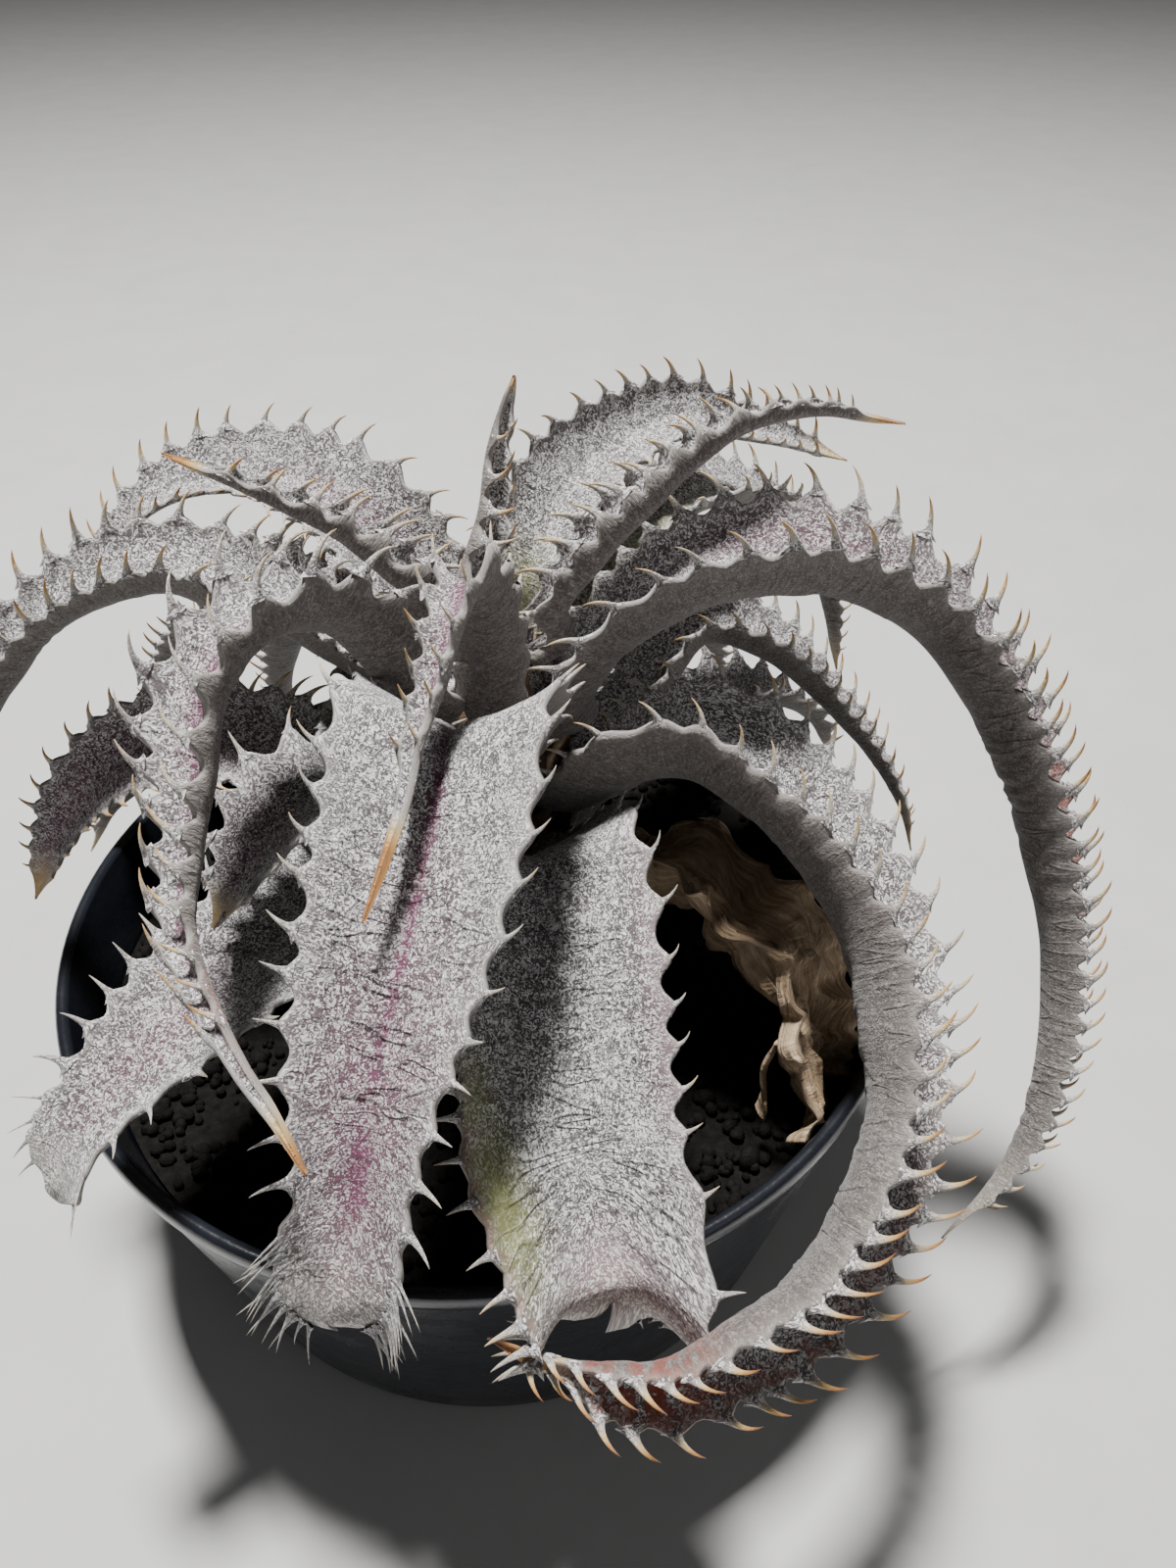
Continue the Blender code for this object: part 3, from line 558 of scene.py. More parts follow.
def end_run(leaf):
    """How far the leaf's end runs on past its route, over the grid."""
    if leaf.broad:
        folded = step_up(leaf.share, 0.72, 0.16)[:, None] ** 1.5
        left, middle, right = leaf.broad.run
        corner = np.where(leaf.across > 0, right, left) - middle
        return folded * (middle + corner * np.abs(leaf.across) ** 1.6)[None]
    if leaf.dry:
        torn = 7 * soft_noise(leaf.across * 2.6 + 5, leaf.across * 0, 12) - 4
        return step_up(leaf.share, 0.8, 0.15)[:, None] * torn[None]
    return np.zeros((leaf.rings, leaf.columns))


def skin_shape(leaf):
    """The grids of points on the leaf's upper and lower skin, and the painted shade in its creases."""
    share, across = leaf.share, leaf.across
    half, fold = leaf.half[:, None], leaf.fold[:, None]
    swell = np.where(across[None] < 0, leaf.swell(-1)[:, None], leaf.swell(1)[:, None])
    turn = across[None] * (1 + swell / half * np.abs(across[None]) ** 5) * fold
    x, y = half * np.sin(turn) / fold, half * (1 - np.cos(turn)) / fold
    fade = np.clip(leaf.half / 6.0, 0, 1)[:, None]
    relief, crease_shade = living_relief(leaf)
    relief = relief * fade
    if leaf.dry:
        relief = 4.0 * leaf.waves(11, 6, 7) * fade
        relief -= 6.0 * leaf.pleats(9, 4.2, 8) * fade
        relief -= 1.6 * leaf.pleats(4, 2.4, 18) * fade
        relief += 0.8 * leaf.waves(14, 0.8, 9)
        x = x + 3.0 * leaf.waves(12, 7, 10) * fade
        x = x - 3.0 * leaf.pleats(6, 9, 19) * fade
    droop = leaf.broad.droop if leaf.broad else 0.0
    y = y + relief - droop * step_up(share, 0.8, 0.15)[:, None] * across[None] ** 2

    fine_end = 1.0 if leaf.broad or leaf.dry else 1 - 0.55 * step_up(share, 0.93, 0.07)
    edge = (EDGE_THICK + (TIP_THICK - EDGE_THICK) * share) * fine_end
    middle = (MID_THICK + (TIP_THICK - MID_THICK) * share**1.5) * fine_end
    thick = edge[:, None] + (middle - edge)[:, None] * (1 - across[None] ** 2)
    run_on = end_run(leaf)

    def place(px, py):
        spots = leaf.route[:, None] + leaf.sides[:, None] * px[..., None]
        spots = spots + leaf.ups[:, None] * py[..., None]
        return spots + leaf.tangents[:, None] * run_on[..., None]

    return place(x, y), place(x + np.sin(turn) * thick, y - np.cos(turn) * thick), crease_shade


def skin_faces(rings, columns):
    """Quads over the upper and the lower skin, the margins and both ends."""
    count = rings * columns
    faces = [grid_faces(rings, columns), grid_faces(rings, columns, count, flip=True)]
    for j, flip in ((0, False), (columns - 1, True)):
        i = np.arange(rings - 1) * columns + j
        quads = np.stack([i, i + columns, i + columns + count, i + count], axis=1)
        faces.append(quads[:, ::-1] if flip else quads)
    j = np.arange(columns - 1)
    faces.append(np.stack([j + 1, j, j + count, j + count + 1], axis=1))
    last = (rings - 1) * columns
    faces.append(np.stack([last + j, last + j + 1, last + j + 1 + count, last + j + count], axis=1))
    return faces


def tip_amber(leaf):
    """How far the skin turns amber and brown towards the tip."""
    ones = np.ones((leaf.rings, leaf.columns))
    if leaf.name in FINE and leaf.name not in FAINT_AMBER:
        start, strength = AMBER.get(leaf.name, COMMON_AMBER)
        return step_up(leaf.share[:, None], start, 0.07) * ones * strength
    amber = step_up(leaf.share, 0.87, 0.1)[:, None] ** 1.3 * ones * (0.08 if leaf.broad else 0.4)
    return amber * 0.3 if leaf.name in FAINT_AMBER else amber


def add_skin(pile, leaf):
    """Add both skins. Paint is purple, amber, underside and margin, a third layer holds painted crease
    shade, green and rust, and grain is mm across, mm along and a number that differs by leaf."""
    upper, lower, crease_shade = skin_shape(leaf)
    purple, rust, green = leaf.patches(FLUSH), leaf.patches(RUST), leaf.patches(GREEN)
    none, full, amber = np.zeros_like(purple), np.ones_like(purple), tip_amber(leaf)
    margin = np.abs(leaf.across[None]) ** 10 * full
    grain = np.stack([leaf.mm_across, leaf.mm_along, np.full_like(purple, leaf.number * 40.0)], axis=-1)
    paints = [np.stack([purple, amber, none, margin], axis=-1),
              np.stack([purple * 0.3, amber, full, margin], axis=-1)]
    shades_and_tints = [np.stack([crease_shade, green, rust], axis=-1), np.stack([0.8 * crease_shade, none, rust], axis=-1)]
    flat = [np.vstack([grid.reshape(-1, grid.shape[-1]) for grid in pair])
            for pair in ((upper, lower), paints, (grain, grain + [0, 0, 15.0]), shades_and_tints)]
    pile.add(flat[0], skin_faces(leaf.rings, leaf.columns), paint=flat[1], grain=flat[2], tint=flat[3])
    return upper, lower


def spine_manner(leaf, side, share, half):
    """A spine's length, how far it leans to the tip, and whether it's one of a broad end's fringe."""
    dice = leaf.dice
    size = SPINE_LENGTH * min(1.0, 0.5 + 4 * share) * dice.uniform(0.85, 1.1) * (0.4 if leaf.dry else 1)
    if leaf.name in SPINES:
        at, leans, lengths = SPINES[leaf.name]
        hook = float(np.interp(share, at, leans))
        size *= float(np.interp(share, at, lengths))
    else:
        hook = float(np.interp(share, [0, 1], leaf.lean)) * 1.8
        size *= (1 - 0.5 * share**3) * min(1.0, 0.45 + half / 7) * 0.9 * leaf.close
    hook += dice.uniform(-0.25, 0.25)
    if leaf.fingers(side, share):
        hook = 0.1 + 0.9 * (share - FINGERS_FROM) + dice.uniform(-0.15, 0.15)
        return size * FINGER_LENGTH, hook, False
    return size, hook, bool(leaf.broad) and share > leaf.broad.fringe_from


def add_spine(pile, leaf, middle, side, run):
    """Add a curved, flattened cone that starts inside the margin of the leaf's middle surface."""
    dice, share = leaf.dice, run / leaf.length
    exact = share * (leaf.rings - 1)
    i = min(leaf.rings - 2, int(round(exact)))
    neighbour = min(leaf.rings - 1, max(0, i + (1 if exact > i else -1)))
    edge, inner = (0, 2) if side < 0 else (leaf.columns - 1, leaf.columns - 3)
    here = middle[i, edge]
    base = here + (middle[neighbour, edge] - here) * abs(exact - i)
    forward = leaf.tangents[i]
    out = unit(here - middle[i, inner])
    out = unit(out - forward * (out @ forward))
    normal = np.cross(forward, out)

    size, hook, fringe = spine_manner(leaf, side, share, leaf.half[i])
    q = np.linspace(0, 1, SPINE_STEPS)
    bend = hook * (0.85 + 0.15 * q) if fringe else hook * (0.1 + 0.9 * q**1.1)
    lift = dice.uniform(-0.25, 0.3) * q
    step = np.cos(bend)[:, None] * out + np.sin(bend)[:, None] * forward + np.sin(lift)[:, None] * normal
    walk = np.vstack([[0, 0, 0], np.cumsum((step[:-1] + step[1:]) / 2, axis=0)])
    path = base - out * SPINE_ROOT + walk * (size + SPINE_ROOT) / (SPINE_STEPS - 1)
    fit = min(1.05, 0.42 + size / 8.0) * dice.uniform(0.9, 1.15) * (0.42 if fringe else 1.0)
    wide = fit * (1.35 * np.exp(-q / 0.12) + 0.52 * (1 - q) ** 0.8 + 0.03)
    thick = fit * (0.1 * np.exp(-q / 0.15) + 0.42 * (1 - q) ** 0.8 + 0.03)
    wide_axis = unit(-np.sin(bend)[:, None] * out + np.cos(bend)[:, None] * forward)
    turn = circle(SPINE_SIDES)
    rim = tube(path, wide_axis, wide, normal[None], thick, turn)
    tip = (SPINE_STEPS - 1) * SPINE_SIDES + np.array([[0, 1, 2, 3], [0, 3, 4, 7], [4, 5, 6, 7]])

    ripe = np.interp(share, RIPE_PLACES, RIPE.get(leaf.name, COMMON_RIPE))
    ripe = np.clip(ripe + dice.uniform(-0.15, 0.15), 0.05, 1)
    paint, grain = np.zeros((SPINE_STEPS, SPINE_SIDES, 4)), np.zeros((SPINE_STEPS, SPINE_SIDES, 3))
    paint[..., 1] = (np.clip((q - 0.18) / 0.8, 0, 1) ** 0.9 * ripe)[:, None]
    paint[..., 3] = 0.25 + 0.6 * q[:, None]
    grain[..., 0] = np.cos(turn)[None]
    grain[..., 1] = run + q[:, None] * size
    grain[..., 2] = leaf.number * 40.0 + 5
    pile.add(rim.reshape(-1, 3), [ring_faces(SPINE_STEPS, SPINE_SIDES), tip], paint=paint.reshape(-1, 4),
             grain=grain.reshape(-1, 3), tint=np.zeros((SPINE_STEPS * SPINE_SIDES, 3)))


def add_strip(pile, start):
    """Add a torn, twisted ribbon that hangs from the withered leaf."""
    rows, sides = 40, 10
    q, turn = np.linspace(0, 1, rows), circle(sides)
    shift_x, shift_y = STRIP_SHIFT
    path = start + np.stack([shift_x * q - 1.2 * np.sin(q * 5), shift_y * q, -STRIP_DROP * q], axis=1)
    wide = np.interp(q, [0, 0.15, 0.7, 0.85, 1], [1.8, 1.0, 1.2, 2.1, 1.6])
    wide = wide + 0.4 * (soft_noise(q * 14, q * 0, 3) - 0.5)
    twist = 0.5 + 1.4 * q
    across = np.stack([np.cos(twist), np.sin(twist), 0 * twist], axis=1)
    through = np.stack([-np.sin(twist), np.cos(twist), 0 * twist], axis=1)
    ring = tube(path, across, wide, through, np.full(rows, STRIP_THICK), turn)
    cap = np.array([[0, 1, 8, 9], [1, 2, 7, 8], [2, 3, 6, 7], [3, 4, 5, 6]])
    grain = np.stack([np.tile(np.cos(turn), rows), np.repeat(q * 18, sides), np.full(rows * sides, 900.0)],
                     axis=1)
    pile.add(ring.reshape(-1, 3), [ring_faces(rows, sides), cap[:, ::-1], cap + (rows - 1) * sides],
             paint=np.zeros((rows * sides, 4)), grain=grain, tint=np.zeros((rows * sides, 3)))


def leaf_piece(name, spec, number):
    """One leaf with its spines, and for the withered one its hanging strip."""
    pile, leaf = Pile(), Leaf(name, spec, number)
    upper, lower = add_skin(pile, leaf)
    for side, run in leaf.places:
        add_spine(pile, leaf, (upper + lower) / 2, side, run)
    if leaf.dry:
        add_strip(pile, upper[int(leaf.rings * 0.8), int(leaf.columns * 0.22)])
    return pile.piece("blade_" + name)


# ---- pot, soil and stem


def lathe(name, profile, sides):
    """A closed shell turned about the vertical axis."""
    profile = np.array(profile, float)
    rows = len(profile)
    turn = circle(sides)
    verts = points(np.outer(np.cos(turn), profile[:, 0]), np.outer(np.sin(turn), profile[:, 0]),
                   np.repeat(profile[None, :, 1], sides, axis=0))
    k, i = np.meshgrid(np.arange(sides), np.arange(rows - 1), indexing="ij")
    k, i = k.ravel(), i.ravel()
    nxt = (k + 1) % sides
    pile = Pile()
    pile.add(verts, [np.stack([k * rows + i, nxt * rows + i, nxt * rows + i + 1, k * rows + i + 1], axis=1)])
    return pile.piece(name)


def arc(cx, cz, radius, start, end, count):
    turn = np.radians(np.linspace(start, end, count))
    return [(cx + radius * cos(a), cz + radius * sin(a)) for a in turn]


def pot_outer(z):
    return FOOT_RADIUS + (RIM_RADIUS - FOOT_RADIUS) * z / POT_HEIGHT


def drill(piece, x, y, radius):
    """Cut a drain hole through the piece's floor."""
    bpy.ops.mesh.primitive_cylinder_add(
        vertices=32, radius=radius * MM, depth=20 * MM, location=(x * MM, y * MM, 0))
    cutter = bpy.context.object
    cut = piece.modifiers.new("drain", "BOOLEAN")
    cut.object, cut.operation, cut.solver = cutter, "DIFFERENCE", "EXACT"
    bpy.context.view_layer.update()
    bored = bpy.data.meshes.new_from_object(piece.evaluated_get(bpy.context.evaluated_depsgraph_get()))
    piece.modifiers.clear()
    piece.data = bored
    bpy.data.objects.remove(cutter)


def pot_piece():
    """The pot: inside from the floor up, over a rounded lip, and outside down to a soft foot."""
    lip, height = WALL / 2, POT_HEIGHT
    rim, foot = RIM_RADIUS, FOOT_RADIUS
    profile = [(AXIS_RADIUS, FLOOR), (foot - WALL - 6, FLOOR), (foot - WALL - 2, FLOOR + 0.8),
               (pot_outer(FLOOR + 5) - WALL, FLOOR + 5)]
    profile += [(pot_outer(z) - WALL, z) for z in np.linspace(12, height - 3, 12)]
    profile += arc(rim - lip, height - lip, lip, 180, 0, 11)
    profile += [(rim, height - 2.6), (rim - 0.2, height - 3.6), (rim - 0.9, height - 4.4)]
    profile += [(pot_outer(z), z) for z in np.linspace(height - 5.2, 2.4, 14)]
    profile += [(foot + 0.1, 1.2), (foot - 0.5, 0.3), (foot - 1.6, 0.0), (AXIS_RADIUS, 0.0)]
    pot = lathe("pot_body", profile, 160)
    for number in range(DRAIN_HOLES):
        turn = radians(DRAIN_TURN) + 2 * pi * number / DRAIN_HOLES
        drill(pot, DRAIN_RING * cos(turn), DRAIN_RING * sin(turn), DRAIN_RADIUS)
    return pot


def soil_height(r, top):
    """The mound's height at a distance from the pot's axis, up to its top's own radius."""
    return np.interp(r, [0, SOIL_MOUND_RADIUS, top], [SOIL_MOUND - 1, SOIL_TOP + 0.6, SOIL_TOP - 0.4])


def soil_piece():
    """The soil's surface: a mound of dark grit, with loose larger grains lying in it."""
    pile = Pile()
    rings, sides = 46, 150
    top = pot_outer(SOIL_TOP) - WALL - SOIL_GAP
    r, a = np.meshgrid(np.linspace(0.5, top, rings), circle(sides), indexing="ij")
    x, y = r * np.cos(a), r * np.sin(a)
    bumps = 0.6 * soft_noise(x / 3.1, y / 3.1, 3) + 0.4 * soft_noise(x / 1.4, y / 1.4, 4)
    z = soil_height(r, top) + SOIL_BUMP * (bumps - 0.5)
    pile.add(points(x, y, z), [ring_faces(rings, sides, flip=True)])
    dice = np.random.default_rng(5)
    for _ in range(GRAINS):
        r = top * sqrt(dice.uniform(0.02, 1)) - 1.5
        turn = dice.uniform(0, 2 * pi)
        size = dice.uniform(*GRAIN_SIZE) * (BIG_GRAIN if dice.random() < BIG_GRAIN_SHARE else 1)
        x, y = r * cos(turn), r * sin(turn)
        if r + size > top - SOIL_GAP or hypot(x - STEM_X, y - STEM_Y) < STEM_RADIUS + size:
            continue
        pile.add(pebble(dice, size) + [x, y, float(soil_height(r, top)) + size * 0.4], [PEBBLE_FACES])
    return pile.piece("soil_surface")


def cube_sphere():
    """A ball of 24 quads that pebbles are pressed from."""
    corners, faces, seen = [], [], {}

    def corner(p):
        key = tuple(np.round(p, 4))
        if key not in seen:
            seen[key] = len(corners)
            corners.append(np.array(p) / np.linalg.norm(p))
        return seen[key]

    for axis, sign, i, j in product(range(3), (-1, 1), range(2), range(2)):
        quad = [corner(np.roll([sign, i + di - 1, j + dj - 1], axis))
                for di, dj in ((0, 0), (1, 0), (1, 1), (0, 1))]
        faces.append(quad if sign > 0 else quad[::-1])
    return np.array(corners), np.array(faces)


PEBBLE_POINTS, PEBBLE_FACES = cube_sphere()


def pebble(dice, size):
    """A pressed and turned ball of about the given radius."""
    turn = np.linalg.qr(dice.normal(size=(3, 3)))[0]
    if np.linalg.det(turn) < 0:
        turn[:, 0] *= -1
    shape = PEBBLE_POINTS * dice.uniform(0.6, 1.0, 3) * dice.uniform(0.85, 1.15, (len(PEBBLE_POINTS), 1))
    return shape @ turn.T * size


def around_stem(radius, turn, z):
    return points(STEM_X + radius * np.cos(turn), STEM_Y + radius * np.sin(turn), z)


def stem_piece():
    """The stem, ringed with the torn brown bases of old leaves."""
    pile = Pile()
    rings, sides = 60, 40
    z, turn = np.meshgrid(np.linspace(STEM_ROOT, STEM_TOP, rings), circle(sides), indexing="ij")
    radius = np.vectorize(stem_radius)(z) - 0.4 + 0.8 * (soft_noise(turn * 4, z / 3.0, 8) - 0.5)
    pile.add(around_stem(radius, turn, z), [ring_faces(rings, sides)])
    dice = np.random.default_rng(21)
    rows, columns = 7, 6
    t, u = np.meshgrid(np.linspace(0, 1, rows), np.linspace(-1, 1, columns), indexing="ij")
    for n in range(OLD_BASES):
        angle = n * OLD_BASE_TURN + dice.uniform(-0.2, 0.2)
        foot = OLD_BASE_FIRST + n * OLD_BASE_RISE
        tall, wide = dice.uniform(*OLD_BASE_TALL), dice.uniform(*OLD_BASE_WIDE)
        turn = angle + u * wide * (1 - 0.75 * t**2) / STEM_RADIUS
        for inner, offset in ((True, 0.0), (False, 0.5)):
            torn = 0.5 * (soft_noise(t * 5, u * 3, n) - 0.5)
            radius = STEM_RADIUS - 0.3 + offset + OLD_BASE_FLARE * t**1.6 + torn
            pile.add(around_stem(radius, turn, foot + tall * t), [grid_faces(rows, columns, flip=not inner)])
    return pile.piece("stem_bases")


# ---- materials


class Finish:
    """A material with short ways to add to its nodes. Values are outputs, numbers or colours."""

    def __init__(self, name):
        self.material = bpy.data.materials.new(name)
        self.material.use_nodes = True
        self.nodes, self.link = self.material.node_tree.nodes, self.material.node_tree.links.new
        self.shader = self.nodes["Principled BSDF"]

    def feed(self, socket, value):
        if isinstance(value, bpy.types.NodeSocket):
            self.link(value, socket)
        elif isinstance(value, tuple) and len(value) < len(socket.default_value):
            socket.default_value = (*value, 1)
        else:
            socket.default_value = value

    def maths(self, operation, *values, clamp=False):
        made = self.nodes.new("ShaderNodeMath")
        made.operation, made.use_clamp = operation, clamp
        for socket, value in zip(made.inputs, values):
            self.feed(socket, value)
        return made.outputs[0]

    def times(self, a, b, clamp=False):
        return self.maths("MULTIPLY", a, b, clamp=clamp)

    def plus(self, a, b, clamp=False):
        return self.maths("ADD", a, b, clamp=clamp)

    def minus(self, a, b, clamp=False):
        return self.maths("SUBTRACT", a, b, clamp=clamp)

    def ramp(self, factor, stops):
        made = self.nodes.new("ShaderNodeValToRGB")
        self.link(factor, made.inputs[0])
        items = made.color_ramp.elements
        while len(items) < len(stops):
            items.new(0.5)
        for item, (place, colour) in zip(items, stops):
            item.position, item.color = place, (*colour, 1)
        return made.outputs[0]

    def mix(self, a, b, factor):
        made = self.nodes.new("ShaderNodeMix")
        made.data_type = "RGBA"
        for socket, value in ((made.inputs[6], a), (made.inputs[7], b), (made.inputs[0], factor)):
            self.feed(socket, value)
        return made.outputs[2]

    def noise(self, source, scale, detail=2.0, rough=0.5, distortion=0.0):
        made = self.nodes.new("ShaderNodeTexNoise")
        for key, value in (("Vector", source), ("Scale", scale), ("Detail", detail), ("Roughness", rough),
                           ("Distortion", distortion)):
            self.feed(made.inputs[key], value)
        return made.outputs["Fac"]

    def stretched(self, source, scale):
        made = self.nodes.new("ShaderNodeMapping")
        self.feed(made.inputs["Scale"], scale)
        self.link(source, made.inputs["Vector"])
        return made.outputs[0]

    def lines(self, noise, stops):
        """Wandering lines, drawn where a noise is near its middle."""
        return self.ramp(self.maths("ABSOLUTE", self.minus(noise, 0.5)), stops)

    def attribute(self, name):
        made = self.nodes.new("ShaderNodeAttribute")
        made.attribute_name = name
        return made.outputs

    def split(self, kind, value):
        made = self.nodes.new(kind)
        self.link(value, made.inputs[0])
        return tuple(made.outputs)

    def object_place(self):
        return self.nodes.new("ShaderNodeTexCoord").outputs["Object"]

    def dress(self, colour, roughness, specular=None, height=None, strength=0.0, distance=0.0):
        """Feed the shader, with a bump whose full height is the distance in metres."""
        self.feed(self.shader.inputs["Base Color"], colour)
        self.feed(self.shader.inputs["Roughness"], roughness)
        if specular is not None:
            self.shader.inputs["Specular IOR Level"].default_value = specular
        bump = self.nodes.new("ShaderNodeBump")
        bump.inputs["Strength"].default_value = strength
        bump.inputs["Distance"].default_value = distance
        self.link(height, bump.inputs["Height"])
        self.link(bump.outputs[0], self.shader.inputs["Normal"])
        return self.material


def leaf_material():
    """White scales in worm-like lines over dark skin, with the leaf's paint and painted crease shade over
    them.
    """
    f = Finish("leaf_scurf")
    grain, paint = f.attribute("grain")["Vector"], f.attribute("paint")
    purple, amber, under = f.split("ShaderNodeSeparateColor", paint["Color"])
    crease_shade, green, rust = f.split("ShaderNodeSeparateXYZ", f.attribute("tint")["Vector"])

    # where the skin is bare between the scales
    worms = f.lines(f.noise(f.stretched(grain, (1.0, 0.85, 1.0)), 1.25, 1.0, 0.5, 1.4),
                    [(0.0, WHITE), (0.05, (0.92, 0.92, 0.92)), (0.11, BLACK)])
    fine = f.ramp(f.noise(grain, 3.6, 2.0, 0.6, 0.6), [(0.42, WHITE), (0.58, BLACK)])
    patch = f.ramp(f.noise(grain, 0.12, 3.0, 0.55), [(0.3, BLACK), (0.7, WHITE)])
    bare = f.times(worms, f.plus(f.times(patch, 0.4), 0.62))
    bare = f.plus(bare, f.times(fine, 0.55), True)
    bare = f.plus(bare, f.times(purple, 0.35), True)
    scaly = f.minus(1.0, bare, True)

    # upper side, and lower side whose scales are darker than the top's, partly their own colour and partly
    # painted shade
    top = f.mix(f.mix(BARE_SKIN, PURPLE_SKIN, purple), SCURF, scaly)
    strokes = f.ramp(f.noise(f.stretched(grain, (0.45, 1.5, 1.0)), 1.2, 4.0, 0.75, 0.3),
                     [(0.3, (0.1, 0.1, 0.1)), (0.7, WHITE)])
    shaded_bottom = f.mix(UNDER_SKIN, SHADED_UNDER_SCURF, f.times(strokes, f.plus(f.times(scaly, 0.85), 0.15)))
    skin = f.mix(top, shaded_bottom, under)

    # purple, green and rust, painted shade in the creases, pale margins, and amber on spines and tips
    veil = f.times(purple, f.minus(1.25, f.times(scaly, 0.7)), True)
    skin = f.mix(skin, PURPLE_VEIL, f.times(veil, 0.55))
    skin = f.mix(skin, GREEN_SKIN, f.times(green, 0.75))
    blotch = f.ramp(f.noise(grain, 0.42, 3.0, 0.6, 0.6), [(0.42, BLACK), (0.5, WHITE)])
    skin = f.mix(skin, RUST_SKIN, f.times(f.times(rust, 1.2, True), blotch))
    # painted shade: dark lines along the creases, also pressed in as a bump
    folds = f.lines(f.noise(f.stretched(grain, (0.11, 0.36, 1.0)), 1.0, 1.0, 0.5, 0.5),
                    [(0.0, WHITE), (0.015, (0.8, 0.8, 0.8)), (0.06, BLACK)])
    dent_and_shade = f.times(folds, crease_shade)
    skin = f.mix(skin, CREASE_SHADE, f.times(dent_and_shade, 0.38))
    skin = f.mix(skin, MARGIN, f.times(paint["Alpha"], 0.22))
    skin = f.mix(skin, f.ramp(amber, SPINE_STOPS), f.times(amber, 2.2, True))

    wrinkles = f.noise(f.stretched(grain, (0.22, 1.3, 1.0)), 0.75, 2.0, 0.5, 0.8)
    fibres = f.noise(f.stretched(grain, (3.2, 0.14, 1.0)), 1.0, 2.0, 0.5, 0.2)
    height = f.plus(f.times(scaly, 0.5), f.times(wrinkles, 1.1))
    height = f.plus(height, f.times(fibres, 0.35))
    height = f.minus(height, f.times(dent_and_shade, 2.6))
    f.shader.inputs["Sheen Weight"].default_value = 0.25
    f.shader.inputs["Sheen Roughness"].default_value = 0.5
    return f.dress(skin, f.maths("MULTIPLY_ADD", amber, -0.35, 0.78), 0.35, height, 0.55, 0.0005)


def withered_material():
    """Dry papery leaf: tan and brown streaks along it, veins, and dark spots."""
    f = Finish("leaf_withered")
    grain = f.attribute("grain")["Vector"]
    streaks = f.ramp(f.noise(f.stretched(grain, (2.4, 0.16, 1.0)), 1.0, 5.0, 0.7, 0.15), DRY_STOPS)
    clouds = f.ramp(f.noise(grain, 0.13, 4.0, 0.6, 0.3), [(0.35, BLACK), (0.7, WHITE)])
    skin = f.mix(streaks, DRY_CLOUD, f.times(clouds, 0.4))
    spots = f.ramp(f.noise(grain, 0.9, 3.0, 0.6), [(0.28, WHITE), (0.36, BLACK)])
    skin = f.mix(skin, DRY_SPOT, f.times(spots, 0.7))
    veins = f.noise(f.stretched(grain, (2.6, 0.05, 1.0)), 1.0, 2.0, 0.5, 0.15)
    crumple = f.noise(grain, 0.35, 4.0, 0.65, 0.8)
    height = f.plus(f.times(veins, 0.8), f.times(crumple, 1.6))
    return f.dress(skin, 0.82, None, height, 0.8, 0.0008)


def pot_material():
    """Satin black, a little uneven in colour and gloss."""
    f = Finish("pot_glaze")
    spot = f.object_place()
    colour = f.ramp(f.noise(spot, 40, 4.0, 0.6), POT_STOPS)
    gloss = f.ramp(f.noise(spot, 90, 5.0, 0.65), [(0.35, (0.17, 0.17, 0.17)), (0.65, (0.30, 0.30, 0.30))])
    return f.dress(colour, gloss, 0.55, f.noise(spot, 700, 2.0), 0.2, 0.0003)


def plain_material(name, low, high, scale, roughness, bump_size, specular=0.4):
    """Cloudy between two colours, with a fine grain."""
    f = Finish(name)
    spot = f.object_place()
    colour = f.ramp(f.noise(spot, scale, 5.0, 0.6), [(0.3, low), (0.7, high)])
    return f.dress(colour, roughness, specular, f.noise(spot, scale * 4, 4.0, 0.6), 0.6, bump_size)


# ---- build

silver, tan = leaf_material(), withered_material()
for number, (short, spec) in enumerate(LEAVES.items()):
    name, dry = "leaf_" + short, short == DRY_LEAF
    piece = leaf_piece(short, spec, number)
    piece.data.materials.append(tan if dry else silver)
    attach(piece, "root")
    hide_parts(name)

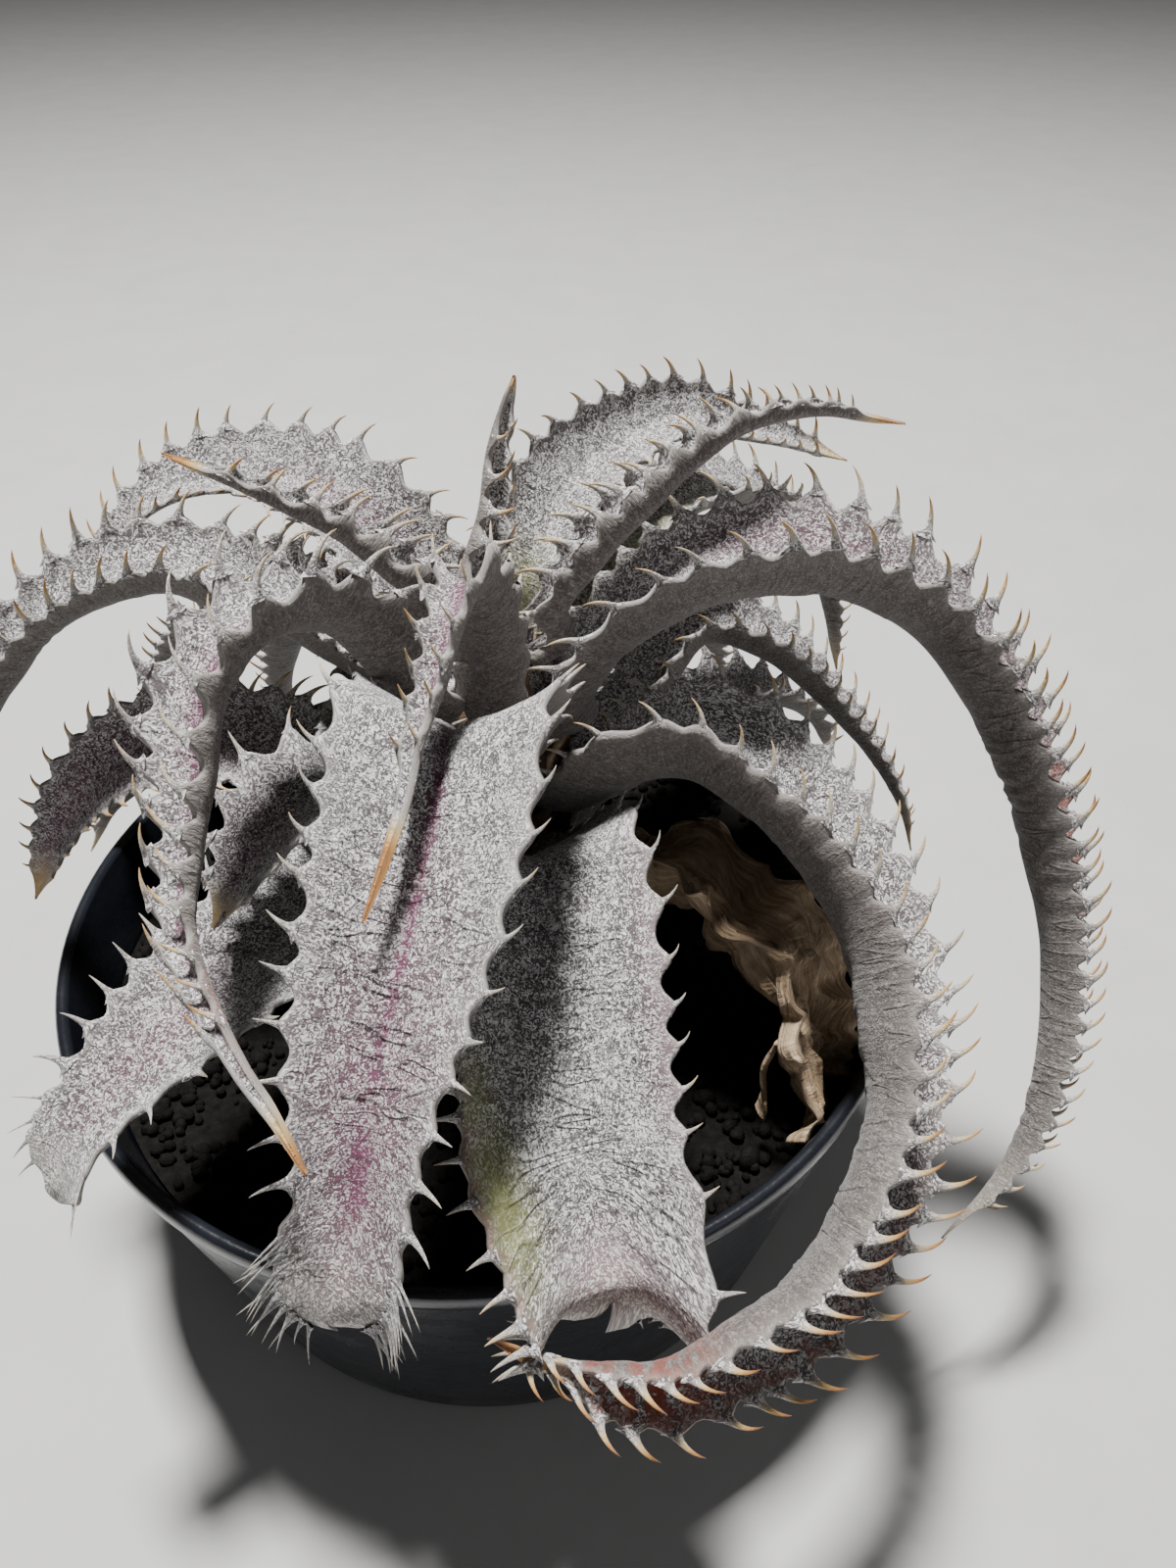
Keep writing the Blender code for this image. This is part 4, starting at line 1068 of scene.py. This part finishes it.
grit = plain_material("grit", (0.0015, 0.0013, 0.0012), (0.010, 0.009, 0.008), 700, 0.8, 0.0009, 0.12)
old_bases = plain_material("old_bases", (0.05, 0.032, 0.022), (0.20, 0.14, 0.09), 260, 0.85, 0.0004)
for piece, target, slot, finish in ((pot_piece(), "pot", "pot_black", pot_material()),
                                    (soil_piece(), "soil", "soil_dark", grit),
                                    (stem_piece(), "stem", "stem_brown", old_bases)):
    piece.data.materials.append(finish)
    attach(piece, "root")
    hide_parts(target)

# ---- stage, light and camera

floor_mesh = bpy.data.meshes.new("floor")
floor_mesh.from_pydata([(-3, -3, 0), (3, -3, 0), (3, 6, 0), (-3, 6, 0)], [], [(0, 1, 2, 3)])
floor = bpy.data.objects.new("floor", floor_mesh)
floor.location.z = cad_low[2] - 0.0002
bpy.context.scene.collection.objects.link(floor)
floor_mesh.materials.append(
    plain_material("floor_pale", (0.52, 0.52, 0.52), (0.56, 0.56, 0.56), 30, 0.8, 0.0001))


def area_light(name, place, size, power, colour=WHITE):
    """A square lamp that faces the plant."""
    lamp = bpy.data.lights.new(name, "AREA")
    lamp.shape, lamp.size, lamp.energy, lamp.color = "SQUARE", size, power, colour
    made = bpy.data.objects.new(name, lamp)
    made.location = place
    made.rotation_mode = "QUATERNION"
    made.rotation_quaternion = (Vector(LIT_POINT) - Vector(place)).to_track_quat("-Z", "Y")
    bpy.context.scene.collection.objects.link(made)


area_light("key", KEY_PLACE, KEY_SIZE, KEY_POWER, KEY_COLOUR)
area_light("fill", FILL_PLACE, FILL_SIZE, FILL_POWER)
world = bpy.data.worlds.new("studio")
world.use_nodes = True
world.node_tree.nodes["Background"].inputs[0].default_value = (1, 1, 1, 1)
world.node_tree.nodes["Background"].inputs[1].default_value = WORLD_STRENGTH
bpy.context.scene.world = world

camera = bpy.data.objects.new("camera", bpy.data.cameras.new("camera"))
camera.data.lens, camera.data.sensor_width = CAMERA_LENS, CAMERA_SENSOR
camera.data.clip_start = 0.01
camera.location = CAMERA_PLACE
camera.rotation_euler = (radians(CAMERA_TILT), 0, 0)
bpy.context.scene.collection.objects.link(camera)
bpy.context.scene.camera = camera
